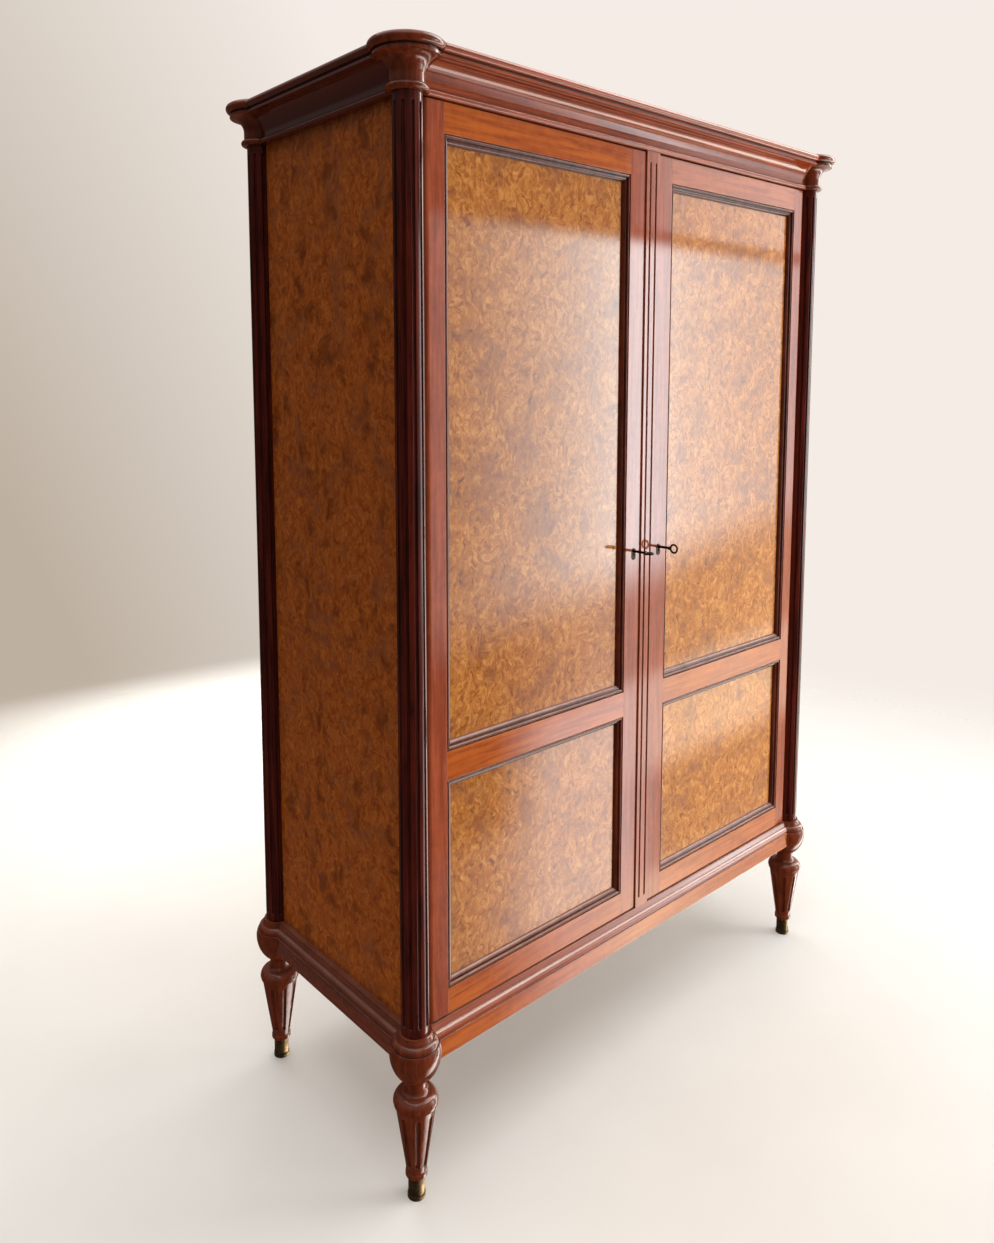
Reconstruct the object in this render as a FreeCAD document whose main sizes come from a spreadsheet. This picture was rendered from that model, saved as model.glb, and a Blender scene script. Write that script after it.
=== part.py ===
"""Two-door linen press with fluted corner columns, a coved cornice and turned feet.

The frame: +X to the right, the front faces -Y, +Z up, origin on the floor under the middle of the press.
Every size is a cell of the sheet, and every piece is bound to those cells.
"""

import FreeCAD
import Part
import Sketcher
import math
import os
from types import SimpleNamespace

# Driving sizes in millimetres. Counts and angles are named as such.
SIZES = {
    # corner columns
    "foot_height": 300,
    "column_length": 1518,
    "column_radius": 24,
    "column_axis_x": 582,
    "column_axis_y": 227,
    "column_flute_count": 10,
    "column_flute_radius": 2.8,
    "column_flute_stop": 15,
    "spigot_radius": 10,
    "spigot_length": 20,
    "spigot_end_gap": 1,
    "spigot_fit": 0.1,
    # turned foot
    "foot_tip_radius": 12.4,
    "foot_ring_radius": 18.8,
    "foot_ring_height": 12,
    "foot_ring_arris": 3,
    "taper_low_radius": 17,
    "taper_high_radius": 35.2,
    "taper_top_share": 0.57,
    "collar_lip_radius": 37.4,
    "collar_lip_height": 4,
    "collar_radius": 38.6,
    "collar_arris": 1.4,
    "collar_top_share": 0.643,
    "neck_radius": 18.5,
    "neck_flare": 5.5,
    "neck_flare_height": 8,
    "neck_height": 12,
    "bulb_radius": 41.5,
    "bulb_swell": 3,
    "bulb_brow_share": 0.88,
    "foot_flute_count": 8,
    "foot_flute_radius": 4,
    "foot_flute_stop": 10,
    "foot_flute_turn_deg": 13.5,
    # brass sabot
    "sabot_height": 38,
    "sabot_radius": 14.2,
    "sabot_floor": 1.5,
    "sabot_lip": 1.3,
    "sabot_lip_height": 6,
    "sabot_fit": 0.1,
    # base rails, whose moulded top edge runs round the feet as well
    "base_rail_height": 55,
    "base_face_out": 25,
    "base_inner_ledge": 32,
    "base_inner_back": 8,
    "base_ledge_height": 20,
    "moulding_drop": 22,
    "moulding_shelf": 2,
    "moulding_lip": 1.5,
    "moulding_curve": 11,
    "moulding_curve_back": 8.5,
    "moulding_curve_top": 12,
    "moulding_step": 1.8,
    "moulding_back": 13.5,
    "moulding_fillet": 2,
    "rail_tenon_length": 18,
    "rail_tenon_width": 12,
    "rail_tenon_height": 24,
    "rail_tenon_rise": 10,
    "rail_tenon_out": 8,
    "scribe_gap": 0.15,
    # cornice
    "cornice_height": 74,
    "cornice_throat": 11,
    "cornice_cove_reach": 32,
    "bell_throat": 29,
    "bell_cove_reach": 25,
    "cornice_bead_height": 11,
    "cornice_quirk": 3,
    "cornice_cove_height": 36,
    "cornice_neck": 5,
    "bell_neck": 11,
    "cornice_fillet": 4.5,
    "cornice_recess": 2.5,
    "cornice_recess_height": 3.5,
    "cornice_rim_in": 1,
    "cornice_top_drop": 2,
    "cornice_flange": 45,
    "cornice_flange_height": 16,
    "cornice_wall_back": 10,
    "cornice_back_out": 8,
    # boards of the case
    "side_panel_thickness": 14,
    "side_panel_out": 1,
    "panel_in_column": 7,
    "board_fit": 0.2,
    "back_board_count": 6,
    "back_board_thickness": 12,
    "back_board_in": 5,
    "back_board_gap": 0.6,
    "floor_board_thickness": 18,
    "board_front_in": 24,
    "board_back_gap": 1,
    "shelf_count": 3,
    "shelf_thickness": 20,
    "shelf_front_in": 52,
    "cleat_height": 22,
    "cleat_width": 20,
    "cleat_end_in": 12,
    # centre post
    "post_half_width": 19,
    "post_proud": 3,
    "post_lip": 15,
    "post_lip_depth": 20,
    "post_flute_radius": 2.5,
    "post_flute_half_spacing": 8.5,
    "post_flute_stop": 20,
    # doors
    "door_face_out": 9,
    "door_thickness": 26,
    "door_column_gap": 1.5,
    "door_post_gap": 1.5,
    "door_stop_gap": 0.5,
    "door_top_gap": 2.5,
    "door_bottom_gap": 3,
    "hinge_arris": 8,
    "hinge_stile_width": 39.5,
    "lock_stile_width": 42.5,
    "top_rail_width": 47.5,
    "middle_rail_width": 50,
    "bottom_rail_width": 45,
    "lower_opening_height": 370,
    "door_tenon_length": 28,
    "door_tenon_thickness": 9,
    "door_tenon_shoulder": 10,
    "door_tenon_end_gap": 1,
    "door_panel_thickness": 10,
    "door_panel_recess": 11,
    "door_panel_in_groove": 7,
    "door_groove_depth": 8,
    # moulding round the door panels
    "bead_width": 15,
    "bead_quirk": 1.2,
    "bead_seat": 8,
    "bead_radius": 2.4,
    "bead_step": 1.6,
    "bead_step_width": 1.2,
    "bead_ovolo_curve": 7.5,
    "bead_edge": 0.9,
    "bead_edge_width": 1,
    # pivot hinges
    "pivot_in": 15.5,
    "pivot_back": 8,
    "pivot_pin_radius": 3.5,
    "pivot_pin_fit": 0.06,
    "pivot_pin_depth": 6,
    "pivot_bore_room": 0.6,
    "pivot_plate_thickness": 3,
    "pivot_plate_width": 13,
    "pivot_plate_end": 7,
    "pivot_plate_length": 28,
    # locks and keys
    "key_height": 1049,
    "key_in": 18.5,
    "key_shank_radius": 2.6,
    "key_shank_out": 31,
    "key_hole_fit": 0.5,
    "key_collar_radius": 3.8,
    "key_collar_length": 3,
    "key_bow_radius": 8,
    "key_bow_wire": 2,
    "key_bit_reach": 9,
    "key_bit_length": 6,
    "key_bit_thickness": 2.4,
    "key_end_gap": 1,
    "case_width": 32,
    "case_depth": 14,
    "case_below": 28,
    "case_above": 32,
    "case_wall": 1.5,
    "bolt_rise": 10.5,
    "bolt_height": 10,
    "bolt_thickness": 7,
    "bolt_length": 25,
    "bolt_set_in": 0.6,
    "bolt_throw": 9,
    "bolt_fit": 0.3,
    "escutcheon_thickness": 1,
    "escutcheon_radius": 5.5,
    "escutcheon_drop": 12,
    "cut_overrun": 2,
}

LEFT = -1
RIGHT = 1
FRONT = -1
BACK = 1
SIDE_NAMES = {LEFT: "left", RIGHT: "right"}
END_NAMES = {FRONT: "front", BACK: "back"}
CORNERS = [(side, end) for end in (FRONT, BACK) for side in (LEFT, RIGHT)]


class Size:
    """A length together with the sheet formula that gives it."""

    def __init__(self, text, value):
        self.text = text
        self.value = value

    def __add__(self, other):
        other = as_size(other)
        return Size(f"({self.text} + {other.text})", self.value + other.value)

    def __sub__(self, other):
        other = as_size(other)
        return Size(f"({self.text} - {other.text})", self.value - other.value)

    def __mul__(self, other):
        other = as_size(other)
        return Size(f"({self.text} * {other.text})", self.value * other.value)

    def __truediv__(self, other):
        other = as_size(other)
        return Size(f"({self.text} / {other.text})", self.value / other.value)

    def __neg__(self):
        return Size(f"(-1 * {self.text})", -self.value)


def as_size(value):
    """Lets a plain ratio or sign stand in a formula."""
    return value if isinstance(value, Size) else Size(repr(value), value)


ZERO = Size("0", 0)

doc = FreeCAD.newDocument("linen_press")
sheet = doc.addObject("Spreadsheet::Sheet", "sizes")
for row, (alias, number) in enumerate(SIZES.items(), start=1):
    sheet.set(f"A{row}", alias)
    sheet.set(f"B{row}", str(number))
    sheet.setAlias(f"B{row}", alias)
doc.recompute()
d = SimpleNamespace(**{alias: Size(f"sizes.{alias}", number) for alias, number in SIZES.items()})

NODES = []


# Levels and planes that several pieces share

column_top = d.foot_height + d.column_length
door_bottom = d.foot_height + d.door_bottom_gap
door_top = column_top - d.door_top_gap
door_face = -(d.column_axis_y + d.door_face_out)
door_back = door_face + d.door_thickness
door_inner_edge = d.post_half_width + d.door_post_gap
door_outer_edge = d.column_axis_x - d.column_radius - d.door_column_gap
lower_opening_bottom = door_bottom + d.bottom_rail_width
lower_opening_top = lower_opening_bottom + d.lower_opening_height
upper_opening_bottom = lower_opening_top + d.middle_rail_width
upper_opening_top = door_top - d.top_rail_width
opening_outer = door_outer_edge - d.hinge_stile_width
opening_inner = door_inner_edge + d.lock_stile_width
panel_face = door_face + d.door_panel_recess
panel_back = panel_face + d.door_panel_thickness
pivot_x = door_outer_edge - d.pivot_in
pivot_y = door_face + d.pivot_back
key_x = door_inner_edge + d.key_in
side_panel_outer = d.column_axis_x + d.side_panel_out
side_panel_inner = side_panel_outer - d.side_panel_thickness
base_rail_bottom = d.foot_height - d.base_rail_height
back_board_back = d.column_axis_y - d.back_board_in
back_board_front = back_board_back - d.back_board_thickness
board_front = -(d.column_axis_y - d.board_front_in)
board_back = back_board_front - d.board_back_gap
floor_top = d.foot_height + d.floor_board_thickness
taper_top = d.foot_height * d.taper_top_share
collar_top = d.foot_height * d.collar_top_share
neck_top = collar_top + d.neck_flare_height + d.neck_height
bulb_brow = d.foot_height * d.bulb_brow_share
belly_radius = d.bulb_radius + d.bulb_swell
ceiling_bottom = column_top - d.floor_board_thickness


# Helpers

def bind(item, prop, length):
    """Ties a property to its sheet formula."""
    item.setExpression(prop, length.text)


def place(item, x, y, z):
    """Ties an object's place to sheet formulas."""
    for axis, length in zip("xyz", (x, y, z)):
        bind(item, f"Placement.Base.{axis}", length)
    return item


def node(item, label):
    """Keeps an object as a finished piece under its own name."""
    item.Label = label
    NODES.append(item)
    return item


def span(side, near, far):
    """Low and high X of a stretch measured outwards from the middle of the press."""
    return (near, far) if side > 0 else (-far, -near)


def box(name, low, high):
    """A block between two corners."""
    block = doc.addObject("Part::Box", name)
    for prop, start, stop in zip(("Length", "Width", "Height"), low, high):
        bind(block, prop, stop - start)
    return place(block, *low)


TURNS = {
    "x": FreeCAD.Rotation(FreeCAD.Vector(0, 1, 0), 90),
    "y": FreeCAD.Rotation(FreeCAD.Vector(1, 0, 0), -90),
    "z": FreeCAD.Rotation(),
}


def rod(name, along, start, radius, length):
    """A round bar from a start point along one axis."""
    bar = doc.addObject("Part::Cylinder", name)
    bar.Placement = FreeCAD.Placement(FreeCAD.Vector(), TURNS[along])
    bind(bar, "Radius", radius)
    bind(bar, "Height", length)
    return place(bar, *start)


def join(name, pieces):
    """One solid from pieces that meet."""
    whole = doc.addObject("Part::MultiFuse", name)
    whole.Shapes = pieces
    whole.Refine = True
    return whole


def group(name, pieces):
    """Separate solids kept together in one node."""
    together = doc.addObject("Part::Compound", name)
    together.Links = pieces
    return together


def cut(name, base, tools):
    """A piece with the tools' shapes taken out of it."""
    result = doc.addObject("Part::Cut", name)
    result.Base = base
    result.Tool = tools[0] if len(tools) == 1 else group(name + "_tools", tools)
    return result


def arc_middle(start, stop, radius, turn):
    """The halfway point of an arc that bulges to the left (turn 1) or right (turn -1) of its chord."""
    chord = stop - start
    half = chord.Length / 2
    sagitta = radius - math.sqrt(radius * radius - half * half)
    left = FreeCAD.Vector(-chord.y, chord.x, 0).normalize()
    return (start + stop) * 0.5 + left * (sagitta * turn)


def draw(sketch, steps):
    """Draws a closed outline and ties every corner and radius to the sheet.

    A step is (x, y) for a straight edge to that point, or (x, y, radius, turn) for an arc to it.
    """
    corners = [FreeCAD.Vector(step[0].value, step[1].value, 0) for step in steps]
    ends = []
    for index, step in enumerate(steps):
        start, stop = corners[index - 1], corners[index]
        if len(step) == 2:
            curve = Part.LineSegment(start, stop)
        else:
            curve = Part.Arc(start, arc_middle(start, stop, step[2].value, step[3]), stop)
        edge = sketch.addGeometry(curve, False)
        first = sketch.getPoint(edge, 1)
        forward = first.distanceToPoint(start) < first.distanceToPoint(stop)
        ends.append((edge, 1, 2) if forward else (edge, 2, 1))
    for index, step in enumerate(steps):
        edge, _, tail = ends[index]
        following, head, _ = ends[(index + 1) % len(steps)]
        sketch.addConstraint(Sketcher.Constraint("Coincident", edge, tail, following, head))
        for kind, axis, length in (("DistanceX", -2, step[0]), ("DistanceY", -1, step[1])):
            if length is ZERO:
                sketch.addConstraint(Sketcher.Constraint("PointOnObject", edge, tail, axis))
                continue
            mark = sketch.addConstraint(Sketcher.Constraint(kind, -1, 1, edge, tail, length.value))
            bind(sketch, f"Constraints[{mark}]", length)
        if len(step) == 4:
            mark = sketch.addConstraint(Sketcher.Constraint("Radius", edge, step[2].value))
            bind(sketch, f"Constraints[{mark}]", step[2])


def sketch_in(owner, name, plane, steps):
    """A sketch of a closed outline on one of its body's own planes."""
    sketch = owner.newObject("Sketcher::SketchObject", name)
    support = next(item for item in owner.Origin.OriginFeatures if item.Role == plane)
    sketch.AttachmentSupport = (support, [""])
    sketch.MapMode = "FlatFace"
    draw(sketch, steps)
    return sketch


def turned(name, steps):
    """A body turned about its own Z axis from an outline of radius and height."""
    owner = doc.addObject("PartDesign::Body", name)
    sketch = sketch_in(owner, name + "_outline", "XZ_Plane", steps)
    spin = owner.newObject("PartDesign::Revolution", name + "_turning")
    spin.Profile = sketch
    spin.ReferenceAxis = (sketch, ["V_Axis"])
    spin.Angle = 360
    return owner


def padded(name, plane, steps, length):
    """A body of constant section, centred on the sketch's plane."""
    owner = doc.addObject("PartDesign::Body", name)
    sketch = sketch_in(owner, name + "_section", plane, steps)
    pad = owner.newObject("PartDesign::Pad", name + "_length")
    pad.Profile = sketch
    pad.Midplane = True
    bind(pad, "Length", length)
    return owner


def flute(owner, name, steps, offset, lean=None):
    """A stopped flute cut by turning its half outline about a line on the surface."""
    sketch = sketch_in(owner, name + "_outline", "XZ_Plane", steps)
    for axis, length in zip("xy", offset):
        bind(sketch, f"AttachmentOffset.Base.{axis}", length)
    if lean is not None:
        bind(sketch, "AttachmentOffset.Rotation.Angle", lean)
    groove = owner.newObject("PartDesign::Groove", name)
    groove.Profile = sketch
    groove.ReferenceAxis = (sketch, ["V_Axis"])
    groove.Angle = 360
    return groove


def flute_steps(radius, start, stop):
    """Half the outline of a flute with round ends, its axis on the line x = 0."""
    return [
        (ZERO, start),
        (radius, start + radius, radius, -1),
        (radius, stop - radius),
        (ZERO, stop, radius, -1),
    ]


def around(owner, name, feature, count):
    """Repeats a feature about the body's Z axis."""
    pattern = owner.newObject("PartDesign::PolarPattern", name)
    pattern.Originals = [feature]
    pattern.Axis = (next(item for item in owner.Origin.OriginFeatures if item.Role == "Z_Axis"), [""])
    pattern.Angle = 360
    bind(pattern, "Occurrences", count)
    owner.Tip = pattern


# Mouldings shared by straight runs and turned corners

def base_moulding(face, sign, gap):
    """The moulded top edge of the base, from its flat face up to the seat of the columns."""
    top = d.foot_height
    shelf = top - d.moulding_drop
    ovolo_top = shelf + d.moulding_curve_top
    out = face + gap
    return [
        (out * sign, shelf),
        ((out - d.moulding_shelf) * sign, shelf),
        ((out - d.moulding_shelf) * sign, shelf + d.moulding_lip),
        ((out - d.moulding_curve_back) * sign, ovolo_top, d.moulding_curve, -sign),
        ((out - d.moulding_curve_back - d.moulding_step) * sign, ovolo_top),
        ((out - d.moulding_back) * sign, top - d.moulding_fillet),
        ((out - d.moulding_back) * sign, top),
    ]


def round_from_upright(across, rise):
    """Radius of an arc that leaves an upright line and ends that far across and that far up."""
    return (across * across + rise * rise) / (across * 2)


def cornice_moulding(throat, reach, neck, total, sign, gap):
    """The cornice from its bottom bead through the cove to the rounded rim, heights from its underside."""
    bead = d.cornice_bead_height
    cove = bead + d.cornice_quirk
    fillet = cove + d.cornice_cove_height
    recess = fillet + d.cornice_fillet
    rim = recess + d.cornice_recess_height
    rim_radius = (total - rim) / 2
    out = throat + reach
    curve = round_from_upright(reach, d.cornice_cove_height - neck)
    return [
        ((throat + gap) * sign, ZERO),
        ((throat + gap + bead / 2) * sign, bead / 2, bead / 2, -sign),
        ((throat + gap) * sign, bead, bead / 2, -sign),
        ((throat + gap) * sign, cove + neck),
        ((out + gap) * sign, fillet, curve, sign),
        ((out + gap) * sign, recess),
        ((out - d.cornice_recess + gap) * sign, recess),
        ((out - d.cornice_recess + gap) * sign, rim),
        ((out - d.cornice_rim_in + gap) * sign, rim),
        ((out - d.cornice_rim_in + gap + rim_radius) * sign, rim + rim_radius, rim_radius, -sign),
        ((out - d.cornice_rim_in + gap) * sign, total, rim_radius, -sign),
    ]


# Turned feet

def foot_steps(gap):
    """Outline of a foot from its tip in the sabot up to the shoulder under the column."""
    ring_low = d.sabot_height
    ring_high = ring_low + d.foot_ring_height
    lip_top = taper_top + d.collar_lip_height
    collar_low = lip_top + d.collar_arris
    neck_low = collar_top + d.neck_flare_height
    flare_radius = d.neck_radius + d.neck_flare
    collar_curve = round_from_upright(d.collar_radius - flare_radius, collar_top - collar_low)
    flare_curve = round_from_upright(d.neck_flare, d.neck_flare_height)
    bulb_curve = round_from_upright(belly_radius - d.neck_radius, bulb_brow - neck_top)
    brow_curve = round_from_upright(d.bulb_swell, d.foot_height - d.moulding_drop - bulb_brow)
    moulding = base_moulding(d.bulb_radius, 1, gap)
    return [
        (d.foot_tip_radius + gap, d.sabot_floor),
        (d.foot_tip_radius + gap, ring_low),
        (d.foot_ring_radius - d.foot_ring_arris + gap, ring_low),
        (d.foot_ring_radius + gap, ring_low + d.foot_ring_arris),
        (d.foot_ring_radius + gap, ring_high - d.foot_ring_arris),
        (d.taper_low_radius + gap, ring_high),
        (d.taper_high_radius + gap, taper_top),
        (d.collar_lip_radius + gap, taper_top),
        (d.collar_lip_radius + gap, lip_top),
        (d.collar_radius + gap, collar_low),
        (flare_radius + gap, collar_top, collar_curve, -1),
        (d.neck_radius + gap, neck_low, flare_curve, 1),
        (d.neck_radius + gap, neck_top),
        (belly_radius + gap, bulb_brow, bulb_curve, -1),
        (*moulding[0], brow_curve, -1),
    ] + moulding[1:]


def corner_name(side, end):
    return f"{END_NAMES[end]}_{SIDE_NAMES[side]}"


def tenon(side, end, along, name, room):
    """The stub tenon of a base rail in a foot, or its mortise with room at the end."""
    low = base_rail_bottom + d.rail_tenon_rise
    inner = belly_radius + d.cut_overrun
    outer = belly_radius - d.rail_tenon_length - room
    out_low = d.rail_tenon_out - d.rail_tenon_width / 2
    out_high = d.rail_tenon_out + d.rail_tenon_width / 2
    if along == "x":
        x = span(side, d.column_axis_x - inner, d.column_axis_x - outer)
        y = span(end, d.column_axis_y + out_low, d.column_axis_y + out_high)
    else:
        x = span(side, d.column_axis_x + out_low, d.column_axis_x + out_high)
        y = span(end, d.column_axis_y - inner, d.column_axis_y - outer)
    return box(name, (x[0], y[0], low), (x[1], y[1], low + d.rail_tenon_height))


def make_foot(side, end):
    name = "foot_" + corner_name(side, end)
    outline = foot_steps(ZERO)
    socket = d.foot_height - d.spigot_length - d.spigot_end_gap
    bore = d.spigot_radius + d.spigot_fit
    outline += [(bore, d.foot_height), (bore, socket), (ZERO, socket)]
    outline.append((ZERO, d.sabot_floor))
    blank = turned(name + "_blank", outline)
    low = d.sabot_height + d.foot_ring_height + d.foot_flute_stop
    slope = (d.taper_high_radius - d.taper_low_radius) / (taper_top - d.sabot_height - d.foot_ring_height)
    start_radius = d.taper_low_radius + slope * d.foot_flute_stop
    length = taper_top - low - d.foot_flute_stop
    lean = Size(f"(-1 * atan({slope.text}))", -math.degrees(math.atan(slope.value)))
    steps = flute_steps(d.foot_flute_radius, ZERO, length)
    channel = flute(blank, name + "_flute", steps, (start_radius, low), lean)
    around(blank, name + "_flutes", channel, d.foot_flute_count)
    turn = d.foot_flute_turn_deg * (side * end)
    bind(blank, "Placement.Rotation.Angle", turn)
    place(blank, d.column_axis_x * side, d.column_axis_y * end, ZERO)
    mortises = [tenon(side, end, along, f"{name}_mortise_{along}", d.spigot_end_gap) for along in "xy"]
    node(cut(name, blank, mortises), name)


def make_sabot(side, end):
    """A brass cup over the foot's tip, with a lip at the floor."""
    name = "sabot_" + corner_name(side, end)
    bore = d.foot_tip_radius + d.sabot_fit
    cup = turned(name, [
        (d.sabot_radius + d.sabot_lip, ZERO),
        (d.sabot_radius + d.sabot_lip, d.sabot_lip_height),
        (d.sabot_radius, d.sabot_lip_height),
        (d.sabot_radius, d.sabot_height),
        (bore, d.sabot_height),
        (bore, d.sabot_floor),
        (ZERO, d.sabot_floor),
        (ZERO, ZERO),
    ])
    return place(cup, d.column_axis_x * side, d.column_axis_y * end, ZERO)


# Fluted columns

def make_column(side, end):
    name = "column_" + corner_name(side, end)
    top = d.column_length
    tip = d.spigot_length
    blank = turned(name + "_blank", [
        (d.spigot_radius, -tip),
        (d.spigot_radius, ZERO),
        (d.column_radius, ZERO),
        (d.column_radius, top),
        (d.spigot_radius, top),
        (d.spigot_radius, top + tip),
        (ZERO, top + tip),
        (ZERO, -tip),
    ])
    steps = flute_steps(d.column_flute_radius, d.column_flute_stop, top - d.column_flute_stop)
    channel = flute(blank, name + "_flute", steps, (d.column_radius, ZERO))
    around(blank, name + "_flutes", channel, d.column_flute_count)
    place(blank, d.column_axis_x * side, d.column_axis_y * end, d.foot_height)
    bottom_z = d.foot_height
    x = span(side, side_panel_inner - d.board_fit / 2, side_panel_outer + d.board_fit / 2)
    y_out = d.column_axis_y - d.column_radius + d.panel_in_column + d.board_fit
    y = span(end, d.column_axis_y - d.column_radius - d.cut_overrun, y_out)
    grooves = [box(name + "_side_groove", (x[0], y[0], bottom_z), (x[1], y[1], column_top))]
    if end == BACK:
        x_out = d.column_axis_x - d.column_radius + d.panel_in_column + d.board_fit
        x = span(side, d.column_axis_x - d.column_radius - d.cut_overrun, x_out)
        low = (x[0], back_board_front - d.board_fit / 2, bottom_z)
        high = (x[1], back_board_back + d.board_fit / 2, column_top)
        grooves.append(box(name + "_back_groove", low, high))
    node(cut(name, blank, grooves), name)


# Cornice

def bell_steps(gap):
    """Outline of a turned corner block from its bottom bead to its rim."""
    return cornice_moulding(d.bell_throat, d.bell_cove_reach, d.bell_neck, d.cornice_height, 1, gap)


def make_bell(side, end):
    name = "cornice_corner_" + corner_name(side, end)
    socket = d.spigot_length + d.spigot_end_gap
    outline = bell_steps(ZERO)
    bore = d.spigot_radius + d.spigot_fit
    outline += [(ZERO, d.cornice_height), (ZERO, socket), (bore, socket), (bore, ZERO)]
    block = turned(name, outline)
    node(place(block, d.column_axis_x * side, d.column_axis_y * end, column_top), name)


def corner_seat(kind, side, end, name):
    """The space that a turned corner takes out of the straight run beside it."""
    if kind == "foot":
        outline = foot_steps(d.scribe_gap) + [(ZERO, d.foot_height), (ZERO, d.sabot_floor)]
        base = ZERO
    else:
        outline = bell_steps(d.scribe_gap) + [(ZERO, d.cornice_height), (ZERO, ZERO)]
        base = column_top
    return place(turned(name, outline), d.column_axis_x * side, d.column_axis_y * end, base)


def inner_corner(side, end, name, reach, wall, low, high):
    """Clears the inner lip of a straight run from the corner where the side run comes in."""
    x = span(side, d.column_axis_x - reach, d.column_axis_x + d.cut_overrun)
    y = span(end, d.column_axis_y - reach - d.cornice_flange, d.column_axis_y - wall)
    return box(name, (x[0], y[0], low - d.cut_overrun), (x[1], y[1], high + d.cut_overrun))


def cornice_tools(end):
    """What the corners take out of the front or back cornice run."""
    tools = []
    for side in (LEFT, RIGHT):
        name = f"cornice_{END_NAMES[end]}_{SIDE_NAMES[side]}"
        tools.append(corner_seat("bell", side, end, name + "_seat"))
        high = column_top + d.cornice_height
        wall = d.cornice_wall_back
        tools.append(inner_corner(side, end, name + "_lip", d.bell_throat, wall, column_top, high))
    return tools


def cornice_section(sign, flange):
    """Section of a cornice run: the moulding outside, a wall and, where asked, a flange inside."""
    top = d.cornice_height - d.cornice_top_drop
    steps = cornice_moulding(d.cornice_throat, d.cornice_cove_reach, d.cornice_neck, top, sign, ZERO)
    steps.append((-d.cornice_wall_back * sign, top))
    if flange:
        steps.append((-d.cornice_wall_back * sign, d.cornice_flange_height))
        steps.append((-d.cornice_flange * sign, d.cornice_flange_height))
        steps.append((-d.cornice_flange * sign, ZERO))
    else:
        steps.append((-d.cornice_wall_back * sign, ZERO))
    return steps


def pivot_bores(side, name):
    """Recess and pin bores of one door's pivot plates in the cornice (top) or base rail (bottom)."""
    reach = d.pivot_plate_thickness + d.pivot_pin_depth
    bore = d.pivot_pin_radius + d.pivot_bore_room
    high = [pivot_plate(side, name + "_top_recess", column_top, column_top + d.pivot_plate_thickness)]
    high.append(rod(name + "_top_bore", "z", (pivot_x * side, pivot_y, column_top), bore, reach))
    low_z = d.foot_height - d.pivot_plate_thickness
    low = [pivot_plate(side, name + "_low_recess", low_z, d.foot_height)]
    low.append(rod(name + "_low_bore", "z", (pivot_x * side, pivot_y, d.foot_height - reach), bore, reach))
    return high, low


def pivot_plate(side, name, low, high):
    """A plate that reaches inwards from the pivot along the door's edge."""
    x = span(side, pivot_x + d.pivot_plate_end - d.pivot_plate_length, pivot_x + d.pivot_plate_end)
    y = (pivot_y - d.pivot_plate_width / 2, pivot_y + d.pivot_plate_width / 2)
    return box(name, (x[0], y[0], low), (x[1], y[1], high))


def make_cornice():
    front = padded("cornice_front_run", "YZ_Plane", cornice_section(FRONT, True), d.column_axis_x * 2)
    place(front, ZERO, -d.column_axis_y, column_top)
    tools = cornice_tools(FRONT)
    for side in (LEFT, RIGHT):
        tools += pivot_bores(side, f"cornice_{SIDE_NAMES[side]}_pivot")[0]
    node(cut("cornice_front", front, tools), "cornice_front")
    for side in (LEFT, RIGHT):
        name = "cornice_" + SIDE_NAMES[side]
        run = padded(name + "_run", "XZ_Plane", cornice_section(side, False), d.column_axis_y * 2)
        place(run, d.column_axis_x * side, ZERO, column_top)
        tools = [corner_seat("bell", side, end, f"{name}_seat_{END_NAMES[end]}") for end in (FRONT, BACK)]
        node(cut(name, run, tools), name)
    top = d.cornice_height - d.cornice_top_drop
    back = padded("cornice_back_run", "YZ_Plane", [
        (d.cornice_back_out, ZERO),
        (d.cornice_back_out, top),
        (-d.cornice_wall_back, top),
        (-d.cornice_wall_back, d.cornice_flange_height),
        (-d.cornice_flange, d.cornice_flange_height),
        (-d.cornice_flange, ZERO),
    ], d.column_axis_x * 2)
    place(back, ZERO, d.column_axis_y, column_top)
    node(cut("cornice_back", back, cornice_tools(BACK)), "cornice_back")


# Base rails

def base_section(sign, ledge):
    """Section of a base rail: moulded outside, with a ledge inside that carries the floor board."""
    steps = [(d.base_face_out * sign, base_rail_bottom)]
    steps += base_moulding(d.base_face_out, sign, ZERO)
    inner = d.base_inner_ledge if ledge else d.base_inner_back
    steps.append((-inner * sign, d.foot_height))
    if ledge:
        steps.append((-inner * sign, d.foot_height - d.base_ledge_height))
        steps.append((-d.base_inner_back * sign, d.foot_height - d.base_ledge_height))
    steps.append((-d.base_inner_back * sign, base_rail_bottom))
    return steps


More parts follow.
